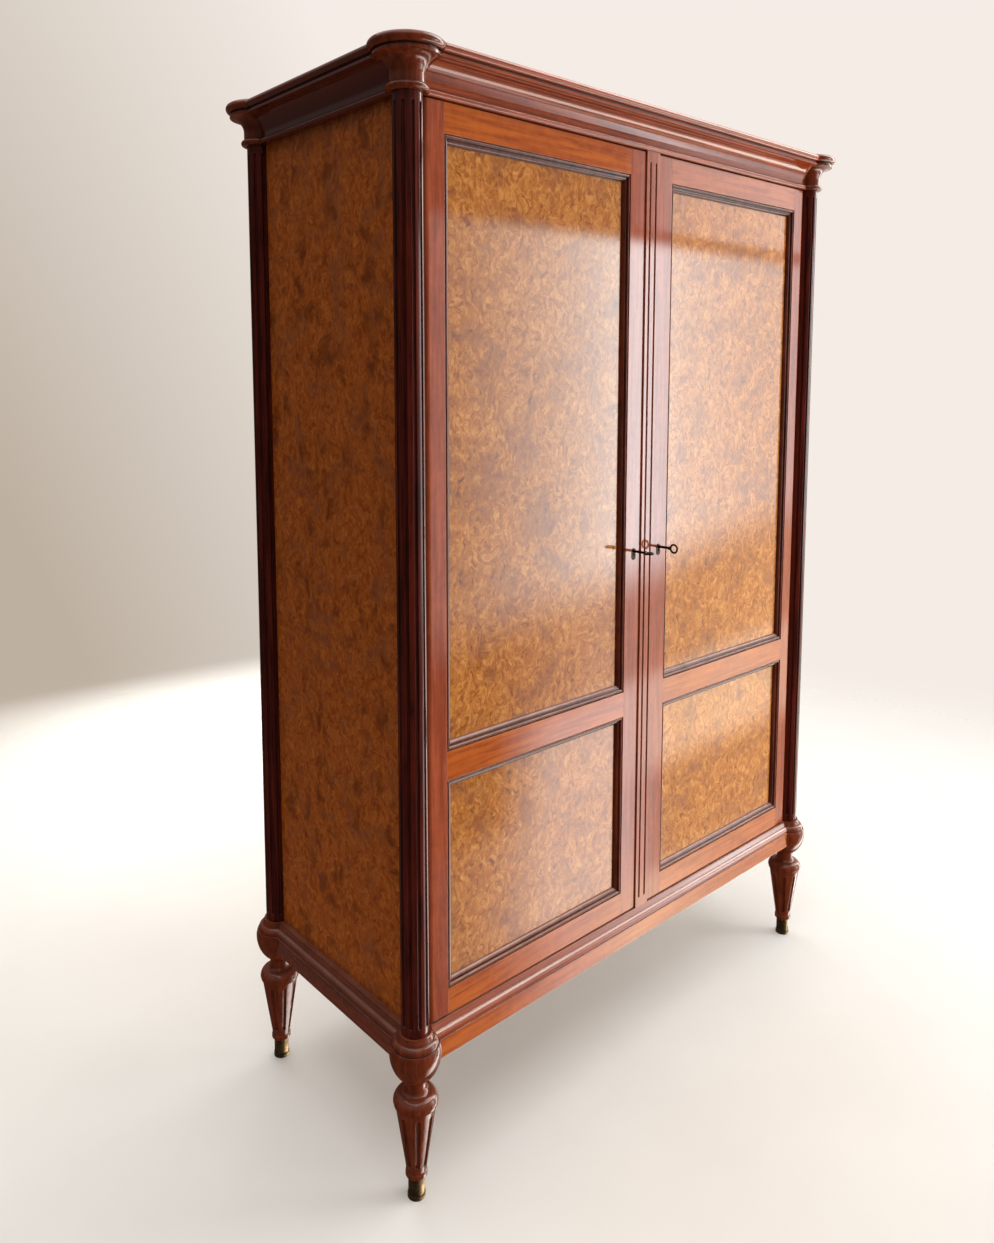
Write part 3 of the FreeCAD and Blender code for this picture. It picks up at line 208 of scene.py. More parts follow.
class PressFinish(bpy.types.PropertyGroup):
    """Colours and grain of the press's woods and metals."""

    red_light: colour("Stile light", "Light grain of the red mahogany stiles", "#98482A")
    red_dark: colour("Stile dark", "Dark grain of the red mahogany stiles", "#79341C")
    orange_light: colour("Rail light", "Light mottle of the rails", "#AA5417")
    orange_dark: colour("Rail dark", "Dark mottle of the rails", "#87390E")
    cornice_light: colour("Cornice light", "Light grain of the cornice", "#92401F")
    cornice_dark: colour("Cornice dark", "Dark grain of the cornice", "#6E2D17")
    turned_light: colour("Turning light", "Light grain of the turned feet", "#6E2E18")
    turned_dark: colour("Turning dark", "Dark grain of the turned feet", "#50200F")
    # Painted shade: the moulding tones are darker than the wood alone, standing for the shade in
    # the panel recesses
    moulding_light: colour("Moulding light", "Light grain of the panel mouldings", "#5C2615")
    moulding_dark: colour("Moulding dark", "Dark grain of the panel mouldings", "#36120A")
    column_light: colour("Column light", "Light grain of the columns", "#551A10")
    column_dark: colour("Column dark", "Dark grain of the columns", "#2E0B07")
    burr_light: colour("Burr light", "Pale curls of the burr veneer", "#BE8242")
    burr_middle: colour("Burr ground", "Ground colour of the burr veneer", "#A06027")
    burr_dark: colour("Burr dark", "Dark curls of the burr veneer", "#7A3F16")
    # Painted light: the right door's leaves are drawn lighter, as though lit more than the left's
    right_door_painted_light: bpy.props.FloatProperty(
        name="Right door's sheen",
        description="How much lighter the right door's leaves are than the left's",
        min=0.5,
        max=2,
        default=1.1,
    )
    burr_cloud: colour("Burr cloud", "Greyish clouds of the burr veneer", "#77442C")
    burr_eye: colour("Burr eye", "Eyes of the burr veneer", "#4E220C")
    side_light: colour("Side light", "Pale flames of the sides' burr", "#B0632B")
    side_middle: colour("Side ground", "Ground colour of the sides' burr", "#964C1C")
    side_dark: colour("Side dark", "Dark flames of the sides' burr", "#753512")
    # Painted shade with soiling: the near-black laid into quirks and hollows where little light
    # reaches
    grime_and_shade: colour("Grime", "Old polish and dirt in the quirks", "#1C0A06")
    # Painted sheen with dusting: the pale tone laid on upward faces, as though lit from above
    dust_and_sheen: colour("Dust", "Dulled polish and dust on upward faces", "#A47C6E")
    oak_light: colour("Oak light", "Light grain of the oak inside", "#B58C5C")
    oak_dark: colour("Oak dark", "Dark grain of the oak inside", "#7A5632")
    brass: colour("Brass", "Dull brass of the sabots", "#86704C")
    brass_tarnish: colour("Brass tarnish", "Brown tarnish on the brass", "#5C4832")
    iron: colour("Iron", "Dark iron of keys, locks and pivots", "#2C2826")
    iron_rust: colour("Iron rust", "Brown bloom on the iron", "#32231B")
    ribbon_width: length("Ribbon", "Width of the ribbons in the mahogany", 10)
    fibre_width: length("Fibre", "Width of the fine streaks in the mahogany", 3)
    arris: length("Arris", "How far the arrises are rubbed round", 1)
    # This reach also sets how far the painted shade of a quirk spreads
    quirk_reach: length("Quirk reach", "How far dirt spreads out of a quirk", 6)
    flame_width: length("Flame", "Width of a flame-like curl in the burr", 10)
    swirl_width: length("Swirl", "Distance over which the burr's grain turns round", 48)
    cloud_width: length("Cloud", "Width of a dark cloud in the burr", 64)
    eye_spacing: length("Eye spacing", "Distance between the eyes of the doors' burr", 22)
    spot_spacing: length("Spot spacing", "Distance between the spots of the sides' burr", 42)


class PressStage(bpy.types.PropertyGroup):
    """Camera, floor and light round the press."""

    lens: bpy.props.FloatProperty(
        name="Lens",
        description="Focal length on a 36 mm sensor",
        subtype="DISTANCE_CAMERA",
        unit="CAMERA",
        default=27.323,
    )
    stand: bpy.props.FloatVectorProperty(
        name="Camera place",
        description="Where the camera stands",
        subtype="TRANSLATION",
        unit="LENGTH",
        default=(-1.48357, -1.40633, 1.38621),
    )
    heading: angle("Heading", "Turn of the camera to the right of straight back", 41.412)
    tilt: angle("Tilt", "Lean of the camera below the level", 5.8012)
    roll: angle("Roll", "Turn of the camera about its own axis", -0.0884)
    floor_pale: colour("Floor", "Pale white of the floor", "#DEDCD8")
    wall_shade: colour("Wall in shade", "Background towards the dim side", "#BDB0A1")
    wall_bright: colour("Wall in light", "Background towards the window", "#F4ECE5")
    room_light: colour("Room light", "Colour of the light from all round", "#F0E8DE")


def node(tree, kind, inputs=None, stops=None, **settings):
    """Adds a node of that kind, sets its values and ramp stops, and links its sockets."""
    made = tree.nodes.new("ShaderNode" + kind)
    for name, value in settings.items():
        setattr(made, name, value)
    for socket, value in (inputs or {}).items():
        if isinstance(value, bpy.types.NodeSocket):
            tree.links.new(value, made.inputs[socket])
        else:
            made.inputs[socket].default_value = value
    if stops:
        elements = made.color_ramp.elements
        while len(elements) < len(stops):
            elements.new(1)
        for element, (place, tone) in zip(elements, stops):
            element.position = place
            element.color = tone
    return made


def empty_tree(owner):
    """Turns on the nodes of a material or a world, and clears them."""
    owner.use_nodes = True
    owner.node_tree.nodes.clear()
    return owner.node_tree


def new_material(name):
    """An empty node material with its shader, and the tree it is in."""
    material = bpy.data.materials.new(name)
    tree = empty_tree(material)
    shader = node(tree, "BsdfPrincipled")
    node(tree, "OutputMaterial", {"Surface": shader.outputs["BSDF"]})
    return material, tree, shader


def cover(tree, shader, tone, rough, bump):
    """Links a surface's colour, roughness and bump to its shader."""
    tree.links.new(tone, shader.inputs["Base Color"])
    tree.links.new(rough, shader.inputs["Roughness"])
    tree.links.new(bump, shader.inputs["Normal"])


def dress(material, *names):
    """Gives CAD nodes that material in every slot they have."""
    for name in names:
        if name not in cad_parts:
            raise RuntimeError(f"there is no part named {name}")
        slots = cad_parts[name].data.materials
        for i in range(len(slots)):
            slots[i] = material
        if not slots:
            slots.append(material)


def age_and_shade(tree, tone, wear, worn_tone, dust_and_sheen):
    """Rubs and softens a wood's arrises, paints shade and soiling into its quirks, and a dusting
    and painted sheen onto its ledges.

    Gives the worn tone with its painted shade and sheen, and the normal that rounds the arrises.
    """
    finish = bpy.context.scene.press_finish
    soft = node(tree, "Bevel", {"Radius": finish.arris}, samples=4).outputs["Normal"]
    flat = node(tree, "NewGeometry").outputs["Normal"]
    turn = node(
        tree, "VectorMath", {0: soft, 1: flat}, operation="DOT_PRODUCT"
    ).outputs["Value"]
    edge = node(
        tree,
        "MapRange",
        {"Value": turn, "From Min": 0.99, "From Max": 0.85, "To Min": 0.0, "To Max": 0.8},
    ).outputs["Result"]
    open_sky = node(
        tree,
        "AmbientOcclusion",
        {"Distance": finish.quirk_reach},
        samples=4,
        only_local=True,
    ).outputs["AO"]
    bare = node(
        tree, "MapRange", {"Value": open_sky, "From Min": 0.75, "From Max": 1.0}
    ).outputs["Result"]
    rubbed = node(tree, "Math", {0: edge, 1: bare}, operation="MULTIPLY").outputs["Value"]
    patchy = node(tree, "Math", {0: rubbed, 1: wear}, operation="MULTIPLY").outputs["Value"]
    worn = node(
        tree,
        "Mix",
        {"Factor": patchy, MIX_A: tone, MIX_B: (*worn_tone, 1)},
        data_type="RGBA",
    ).outputs[MIXED]
    # Painted shade with soiling: the tone darkens towards the near-black where ambient occlusion
    # finds the surface closed in
    dirt_and_shade = node(
        tree,
        "MapRange",
        {"Value": open_sky, "From Min": 0.4, "From Max": 0.92, "To Min": 0.92, "To Max": 0.0},
    ).outputs["Result"]
    grimy_and_shaded = node(
        tree,
        "Mix",
        {"Factor": dirt_and_shade, MIX_A: worn, MIX_B: (*finish.grime_and_shade, 1)},
        data_type="RGBA",
    ).outputs[MIXED]
    # Painted sheen with dusting: upward faces turn towards the pale tone, as a highlight from above
    # would make them
    upward = node(tree, "SeparateXYZ", {"Vector": soft}).outputs["Z"]
    upward_sheen_and_dust = node(
        tree,
        "MapRange",
        {"Value": upward, "From Min": 0.25, "From Max": 0.85, "To Min": 0.0, "To Max": dust_and_sheen},
    ).outputs["Result"]
    dust_and_sheen_share = node(tree, "Math", {0: upward_sheen_and_dust, 1: wear}, operation="MULTIPLY").outputs["Value"]
    aged_with_painted_light = node(
        tree,
        "Mix",
        {"Factor": dust_and_sheen_share, MIX_A: grimy_and_shaded, MIX_B: (*finish.dust_and_sheen, 1)},
        data_type="RGBA",
    ).outputs[MIXED]
    return aged_with_painted_light, soft


def polish(tree, shader, tone, rough, bump, coat):
    """Covers a wood, and lays a clear coat of French polish over it, which alone mirrors."""
    cover(tree, shader, tone, rough, bump)
    shader.inputs["IOR"].default_value = POLISH_IOR
    shader.inputs["Specular IOR Level"].default_value = 0.0
    shader.inputs["Coat Weight"].default_value = coat
    shader.inputs["Coat Roughness"].default_value = POLISH_HAZE
    shader.inputs["Coat IOR"].default_value = POLISH_IOR


# French-polished mahogany: soft ribbons and a faint cross mottle under a clear, slightly hazy
# gloss, with fibres drawn coarser than real ones so that they show
def polished_mahogany(
    name, along, light, dark, mottle, moulded_above=None, coat=1.0, dust_and_sheen=0.15
):
    """Worn mahogany with painted shade and sheen, its grain along one axis, darker above the height
    of a moulding.
    """
    finish = bpy.context.scene.press_finish
    material, tree, shader = new_material(name)
    place = node(tree, "TexCoord").outputs["Object"]
    grain = node(
        tree, "Mapping", {"Vector": place, "Scale": GRAIN_STRETCH[along]}
    ).outputs["Vector"]
    ribbon = node(
        tree,
        "TexNoise",
        {
            "Vector": grain,
            "Scale": 1 / finish.ribbon_width,
            "Detail": 3.0,
            "Roughness": 0.55,
            "Distortion": 0.5,
        },
    ).outputs["Fac"]
    fibre = node(
        tree,
        "TexNoise",
        {"Vector": grain, "Scale": 1 / finish.fibre_width, "Detail": 4.0, "Roughness": 0.65},
    ).outputs["Fac"]
    cross = node(
        tree,
        "TexNoise",
        {
            "Vector": place,
            "Scale": per_metre(MOTTLE_MM),
            "Detail": 4.0,
            "Roughness": 0.6,
            "Distortion": 1.0,
        },
    ).outputs["Fac"]
    streaks = node(
        tree, "Mix", {"Factor": 0.3, "A": ribbon, "B": fibre}, data_type="FLOAT"
    ).outputs["Result"]
    tone = node(
        tree, "Mix", {"Factor": mottle, "A": streaks, "B": cross}, data_type="FLOAT"
    ).outputs["Result"]
    middle = tuple((a + b) / 2 for a, b in zip(light, dark))
    figure = node(
        tree,
        "ValToRGB",
        {"Fac": tone},
        stops=[(0.4, (*dark, 1)), (0.5, (*middle, 1)), (0.6, (*light, 1))],
    ).outputs["Color"]
    if moulded_above is not None:
        height = node(tree, "SeparateXYZ", {"Vector": place}).outputs["Z"]
        moulded = node(
            tree,
            "MapRange",
            {
                "Value": height,
                "From Min": moulded_above,
                "From Max": moulded_above + MOULDING_BLUR,
            },
        ).outputs["Result"]
        strip = node(
            tree,
            "ValToRGB",
            {"Fac": tone},
            stops=[(0.36, (*finish.cornice_dark, 1)), (0.64, (*finish.cornice_light, 1))],
        ).outputs["Color"]
        figure = node(
            tree, "Mix", {"Factor": moulded, MIX_A: figure, MIX_B: strip}, data_type="RGBA"
        ).outputs[MIXED]
    wear = node(
        tree,
        "TexNoise",
        {"Vector": place, "Scale": per_metre(WEAR_MM), "Detail": 4.0, "Roughness": 0.6},
    ).outputs["Fac"]
    rough = node(
        tree,
        "MapRange",
        {"Value": wear, "From Min": 0.3, "From Max": 0.7, "To Min": 0.3, "To Max": 0.46},
    ).outputs["Result"]
    worn_tone = tuple(min(1, RUBBED_GAIN * part) for part in light)
    aged_with_painted_light, soft = age_and_shade(tree, figure, wear, worn_tone, dust_and_sheen)
    bump = node(
        tree,
        "Bump",
        {"Height": fibre, "Normal": soft, "Strength": 0.2, "Distance": 0.2 * MM},
    ).outputs["Normal"]
    polish(tree, shader, aged_with_painted_light, rough, bump, coat)
    tree.links.new(soft, shader.inputs["Coat Normal"])
    return material


# Burr veneer: golden curls that swirl round small dark eyes, and greyish clouds, under the same
# polish
def burr_veneer(name, leaf, tones, spacing, eye_size, eye_depth, coat):
    """Burr cut from its own leaf, with eyes that far apart and that large a share of the gap."""
    finish = bpy.context.scene.press_finish
    material, tree, shader = new_material(name)
    place = node(
        tree,
        "VectorMath",
        {0: node(tree, "TexCoord").outputs["Object"], 1: (0, 0, LEAF_STEP * leaf)},
        operation="ADD",
    ).outputs["Vector"]
    drift = node(
        tree,
        "TexNoise",
        {"Vector": place, "Scale": 1 / finish.swirl_width, "Detail": 3.0, "Roughness": 0.55},
    ).outputs["Color"]
    pull = node(
        tree, "VectorMath", {0: drift, 1: (-0.5, -0.5, -0.5)}, operation="ADD"
    ).outputs["Vector"]
    reach = SWIRL_PULL * finish.swirl_width
    swirled = node(
        tree,
        "VectorMath",
        {0: pull, 1: (reach, reach, reach), 2: place},
        operation="MULTIPLY_ADD",
    ).outputs["Vector"]
    tall = node(
        tree, "Mapping", {"Vector": swirled, "Scale": (1, 1, 0.6)}
    ).outputs["Vector"]
    flame = node(
        tree,
        "TexNoise",
        {
            "Vector": tall,
            "Scale": 1 / finish.flame_width,
            "Detail": 4.0,
            "Roughness": 0.58,
            "Distortion": 0.6,
        },
    ).outputs["Fac"]
    cloud = node(
        tree,
        "TexNoise",
        {
            "Vector": place,
            "Scale": 1 / finish.cloud_width,
            "Detail": 4.0,
            "Roughness": 0.6,
            "Distortion": 0.8,
        },
    ).outputs["Fac"]
    ground = node(
        tree,
        "ValToRGB",
        {"Fac": flame},
        stops=[(at, (*tone, 1)) for at, tone in zip((0.3, 0.5, 0.72), tones)],
    ).outputs["Color"]
    clouded = node(
        tree,
        "MapRange",
        {"Value": cloud, "From Min": 0.46, "From Max": 0.7, "To Min": 0.0, "To Max": 0.6},
        interpolation_type="SMOOTHSTEP",
    ).outputs["Result"]
    veiled = node(
        tree,
        "Mix",
        {"Factor": clouded, MIX_A: ground, MIX_B: (*finish.burr_cloud, 1)},
        data_type="RGBA",
    ).outputs[MIXED]
    oval = node(
        tree, "Mapping", {"Vector": swirled, "Scale": (1, 1, 0.65)}
    ).outputs["Vector"]
    from_eye = node(
        tree,
        "TexVoronoi",
        {"Vector": oval, "Scale": 1 / spacing, "Randomness": 1.0},
        feature="F1",
    ).outputs["Distance"]
    eye = node(
        tree,
        "MapRange",
        {
            "Value": from_eye,
            "From Min": EYE_CORE * eye_size,
            "From Max": eye_size,
            "To Min": eye_depth,
            "To Max": 0.0,
        },
        interpolation_type="SMOOTHSTEP",
    ).outputs["Result"]
    crowd = node(
        tree,
        "TexNoise",
        {"Vector": place, "Scale": 1 / (CLUSTER_SPAN * spacing), "Detail": 1.0},
    ).outputs["Fac"]
    cluster = node(
        tree,
        "MapRange",
        {"Value": crowd, "From Min": 0.34, "From Max": 0.54},
        interpolation_type="SMOOTHSTEP",
    ).outputs["Result"]
    eye_share = node(
        tree, "Math", {0: eye, 1: cluster}, operation="MULTIPLY"
    ).outputs["Value"]
    spotted = node(
        tree,
        "Mix",
        {"Factor": eye_share, MIX_A: veiled, MIX_B: (*finish.burr_eye, 1)},
        data_type="RGBA",
    ).outputs[MIXED]
    rough = node(
        tree,
        "MapRange",
        {"Value": cloud, "From Min": 0.3, "From Max": 0.7, "To Min": 0.28, "To Max": 0.44},
    ).outputs["Result"]
    bump = node(
        tree, "Bump", {"Height": flame, "Strength": 0.15, "Distance": 0.2 * MM}
    ).outputs["Normal"]
    polish(tree, shader, spotted, rough, bump, coat)
    return material


# Planed oak, never polished: pale brown with long open pores and no gloss
def planed_oak(name, along):
    """Plain oak with its grain along one axis."""
    finish = bpy.context.scene.press_finish
    material, tree, shader = new_material(name)
    place = node(tree, "TexCoord").outputs["Object"]
    grain = node(
        tree, "Mapping", {"Vector": place, "Scale": GRAIN_STRETCH[along]}
    ).outputs["Vector"]
    rings = node(
        tree,
        "TexNoise",
        {"Vector": grain, "Scale": per_metre(OAK_RING_MM), "Detail": 4.0, "Distortion": 1.2},
    ).outputs["Fac"]
    pores = node(
        tree,
        "TexNoise",
        {"Vector": grain, "Scale": per_metre(OAK_PORE_MM), "Detail": 3.0, "Roughness": 0.75},
    ).outputs["Fac"]
    tone = node(
        tree, "Mix", {"Factor": 0.4, "A": rings, "B": pores}, data_type="FLOAT"
    ).outputs["Result"]
    ramp = node(
        tree,
        "ValToRGB",
        {"Fac": tone},
        stops=[(0.36, (*finish.oak_dark, 1)), (0.62, (*finish.oak_light, 1))],
    ).outputs["Color"]
    rough = node(
        tree,
        "MapRange",
        {"Value": rings, "From Min": 0.3, "From Max": 0.7, "To Min": 0.58, "To Max": 0.74},
    ).outputs["Result"]
    bump = node(
        tree, "Bump", {"Height": pores, "Strength": 0.4, "Distance": 0.4 * MM}
    ).outputs["Normal"]
    cover(tree, shader, ramp, rough, bump)
    return material


# Old metal: a dull sheen with darker bloom in patches and a finely pitted skin
def old_metal(name, clean, bloom, smooth, patch_mm):
    """Metal that is smooth where it is clean, and rougher under patches of bloom."""
    material, tree, shader = new_material(name)
    place = node(tree, "TexCoord").outputs["Object"]
    patch = node(
        tree,
        "TexNoise",
        {"Vector": place, "Scale": per_metre(patch_mm), "Detail": 6.0, "Roughness": 0.65},
    ).outputs["Fac"]
    ramp = node(
        tree,
        "ValToRGB",
        {"Fac": patch},
        stops=[(0.4, (*bloom, 1)), (0.62, (*clean, 1))],
    ).outputs["Color"]
    rough = node(
        tree,
        "MapRange",
        {
            "Value": patch,
            "From Min": 0.35,
            "From Max": 0.65,
            "To Min": smooth + BLOOM_ROUGHNESS,
            "To Max": smooth,
        },
    ).outputs["Result"]
    pits = node(
        tree, "TexNoise", {"Vector": place, "Scale": per_metre(PIT_MM), "Detail": 3.0}
    ).outputs["Fac"]
    bump = node(
        tree, "Bump", {"Height": pits, "Strength": 0.3, "Distance": 0.2 * MM}
    ).outputs["Normal"]
    cover(tree, shader, ramp, rough, bump)
    shader.inputs["Metallic"].default_value = 1.0
    return material


class PRESS_OT_turnings(bpy.types.Operator):
    """Polishes the feet, the columns and the cornice corners"""

    bl_idname = "press.turnings"
    bl_label = "Feet, Columns and Corners"

    def execute(self, context):
        finish = context.scene.press_finish
        turned = (finish.turned_light, finish.turned_dark)
        fluted = (finish.column_light, finish.column_dark)
        foot = polished_mahogany("foot_mahogany", "z", *turned, mottle=0.2, coat=0.55)
        column = polished_mahogany("column_mahogany", "z", *fluted, mottle=0.1, coat=0.5)
        bell = polished_mahogany("corner_mahogany", "z", *turned, mottle=0.25, coat=0.6)
        for corner in CORNERS:
            dress(foot, f"foot_{corner}")
            dress(column, f"column_{corner}")
            dress(bell, f"cornice_corner_{corner}")
        return {"FINISHED"}


class PRESS_OT_cornice(bpy.types.Operator):
    """Polishes the runs of the cornice, the side runs in darker tones as painted shade"""

    bl_idname = "press.cornice"
    bl_label = "Cornice"

    def execute(self, context):
        finish = context.scene.press_finish
        lit = (finish.cornice_light, finish.cornice_dark)
        dim = (finish.turned_dark, finish.column_light)
        front = polished_mahogany("cornice_mahogany", "x", *lit, mottle=0.2, coat=0.6)
        # Painted shade: the side runs take darker tones than the front, as though in shade
        sides = polished_mahogany("shaded_cornice_mahogany", "y", *dim, mottle=0.2)
        dress(front, "cornice_front")
        dress(sides, "cornice_left", "cornice_right")
        return {"FINISHED"}


class PRESS_OT_base(bpy.types.Operator):
    """Polishes the four base rails, the front and back ones darker along their top edge, the side
    ones in darker tones as painted shade
    """

    bl_idname = "press.base"
    bl_label = "Base Rails"

    def execute(self, context):
        finish = context.scene.press_finish
        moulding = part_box("base_rail_front")[1].z - MOULDING_DROP
        orange = (finish.orange_light, finish.orange_dark)
        turned = (finish.turned_light, finish.turned_dark)
        # A heavy dusting with painted sheen on the moulded top edge
        front = polished_mahogany(
            "base_mahogany", "x", *orange, mottle=0.2, moulded_above=moulding, dust_and_sheen=1.0
        )
        # Painted shade: the side rails take the darker tones of the feet, as though in shade
        sides = polished_mahogany("shaded_base_mahogany", "y", *turned, mottle=0.3, dust_and_sheen=0.4)
        dress(front, "base_rail_front", "base_rail_back")
        dress(sides, "base_rail_left", "base_rail_right")
        return {"FINISHED"}


class PRESS_OT_door_frames(bpy.types.Operator):
    """Polishes the stiles and rails of the doors and the post between them"""

    bl_idname = "press.door_frames"
    bl_label = "Door Frames"

    def execute(self, context):
        finish = context.scene.press_finish
        red = (finish.red_light, finish.red_dark)
        orange = (finish.orange_light, finish.orange_dark)
        upright = polished_mahogany("stile_mahogany", "z", *red, mottle=0.2)
        level = polished_mahogany("rail_mahogany", "x", *orange, mottle=0.2)
        dress(upright, "centre_post", "post_strip")
        for side in SIDES:
            dress(upright, f"{side}_hinge_stile", f"{side}_lock_stile")
            dress(level, *(f"{side}_{r}_rail" for r in ("top", "middle", "bottom")))
        return {"FINISHED"}


class PRESS_OT_mouldings(bpy.types.Operator):
    """Polishes the moulding sticks round the door panels, in tones darkened as painted shade"""

    bl_idname = "press.mouldings"
    bl_label = "Panel Mouldings"

    def execute(self, context):
        finish = context.scene.press_finish
        tones = (finish.moulding_light, finish.moulding_dark)
        # A heavy dusting with painted sheen on the upward faces
        wood = polished_mahogany(
            "moulding_mahogany", "z", *tones, mottle=0.3, coat=0.45, dust_and_sheen=1.4
        )
        dress(wood, *(f"{side}_panel_mouldings" for side in SIDES))
        return {"FINISHED"}


class PRESS_OT_panels(bpy.types.Operator):
    """Veneers the door panels and the sides with burr, the right door's leaves lighter as painted
    light
    """

    bl_idname = "press.panels"
    bl_label = "Burr Panels"

    def execute(self, context):
        finish = context.scene.press_finish
        dull = (finish.burr_dark, finish.burr_middle, finish.burr_light)
        # Painted light: the right door's burr is a lighter copy of the left's
        bright = [tuple(finish.right_door_painted_light * part for part in tone) for tone in dull]
        names = [f"{side}_{level}_panel" for side in SIDES for level in ("upper", "lower")]
        for leaf, name in enumerate(names):
            wood = burr_veneer(
                f"{name}_burr",
                leaf,
                bright if name.startswith("right") else dull,
                finish.eye_spacing,
                eye_size=0.26,
                eye_depth=0.6,
                coat=1.0,
            )
            dress(wood, name)
        for leaf, side in enumerate(SIDES, start=len(names)):
            name = f"side_panel_{side}"
            wood = burr_veneer(
                f"{name}_burr",
                leaf,
                (finish.side_dark, finish.side_middle, finish.side_light),
                finish.spot_spacing,
                eye_size=0.5,
                eye_depth=0.6,
                coat=0.25,
            )
            dress(wood, name)
        return {"FINISHED"}


class PRESS_OT_metalwork(bpy.types.Operator):
    """Ages the sabots, escutcheons, locks, bolts, pivots and keys"""

    bl_idname = "press.metalwork"
    bl_label = "Metalwork"

    def execute(self, context):
        finish = context.scene.press_finish
        brass = old_metal(
            "dull_brass", finish.brass, finish.brass_tarnish, smooth=0.4, patch_mm=14
        )
        iron = old_metal("dark_iron", finish.iron, finish.iron_rust, smooth=0.36, patch_mm=7)
        dark_brass = old_metal(
            "tarnished_brass", finish.iron_rust, finish.iron, smooth=0.42, patch_mm=5
        )
        dress(brass, "brass_sabots")
        dress(iron, "pivot_sockets")
        for side in SIDES:
            dress(dark_brass, f"{side}_escutcheon")
            dress(iron, *(f"{side}_{n}" for n in ("lock_case", "bolt", "pivots", "key")))
        return {"FINISHED"}


class PRESS_OT_inside(bpy.types.Operator):
    """Planes the oak of the back, the shelves and the boards"""

    bl_idname = "press.inside"
    bl_label = "Oak Inside"

    def execute(self, context):
        along = planed_oak("planed_oak_x", "x")
        upright = planed_oak("planed_oak_z", "z")
        dress(along, "cornice_back", "floor_board", "ceiling_board", "shelf_cleats")
        dress(along, "shelf_1", "shelf_2", "shelf_3")
        dress(upright, "back_boards")
        return {"FINISHED"}


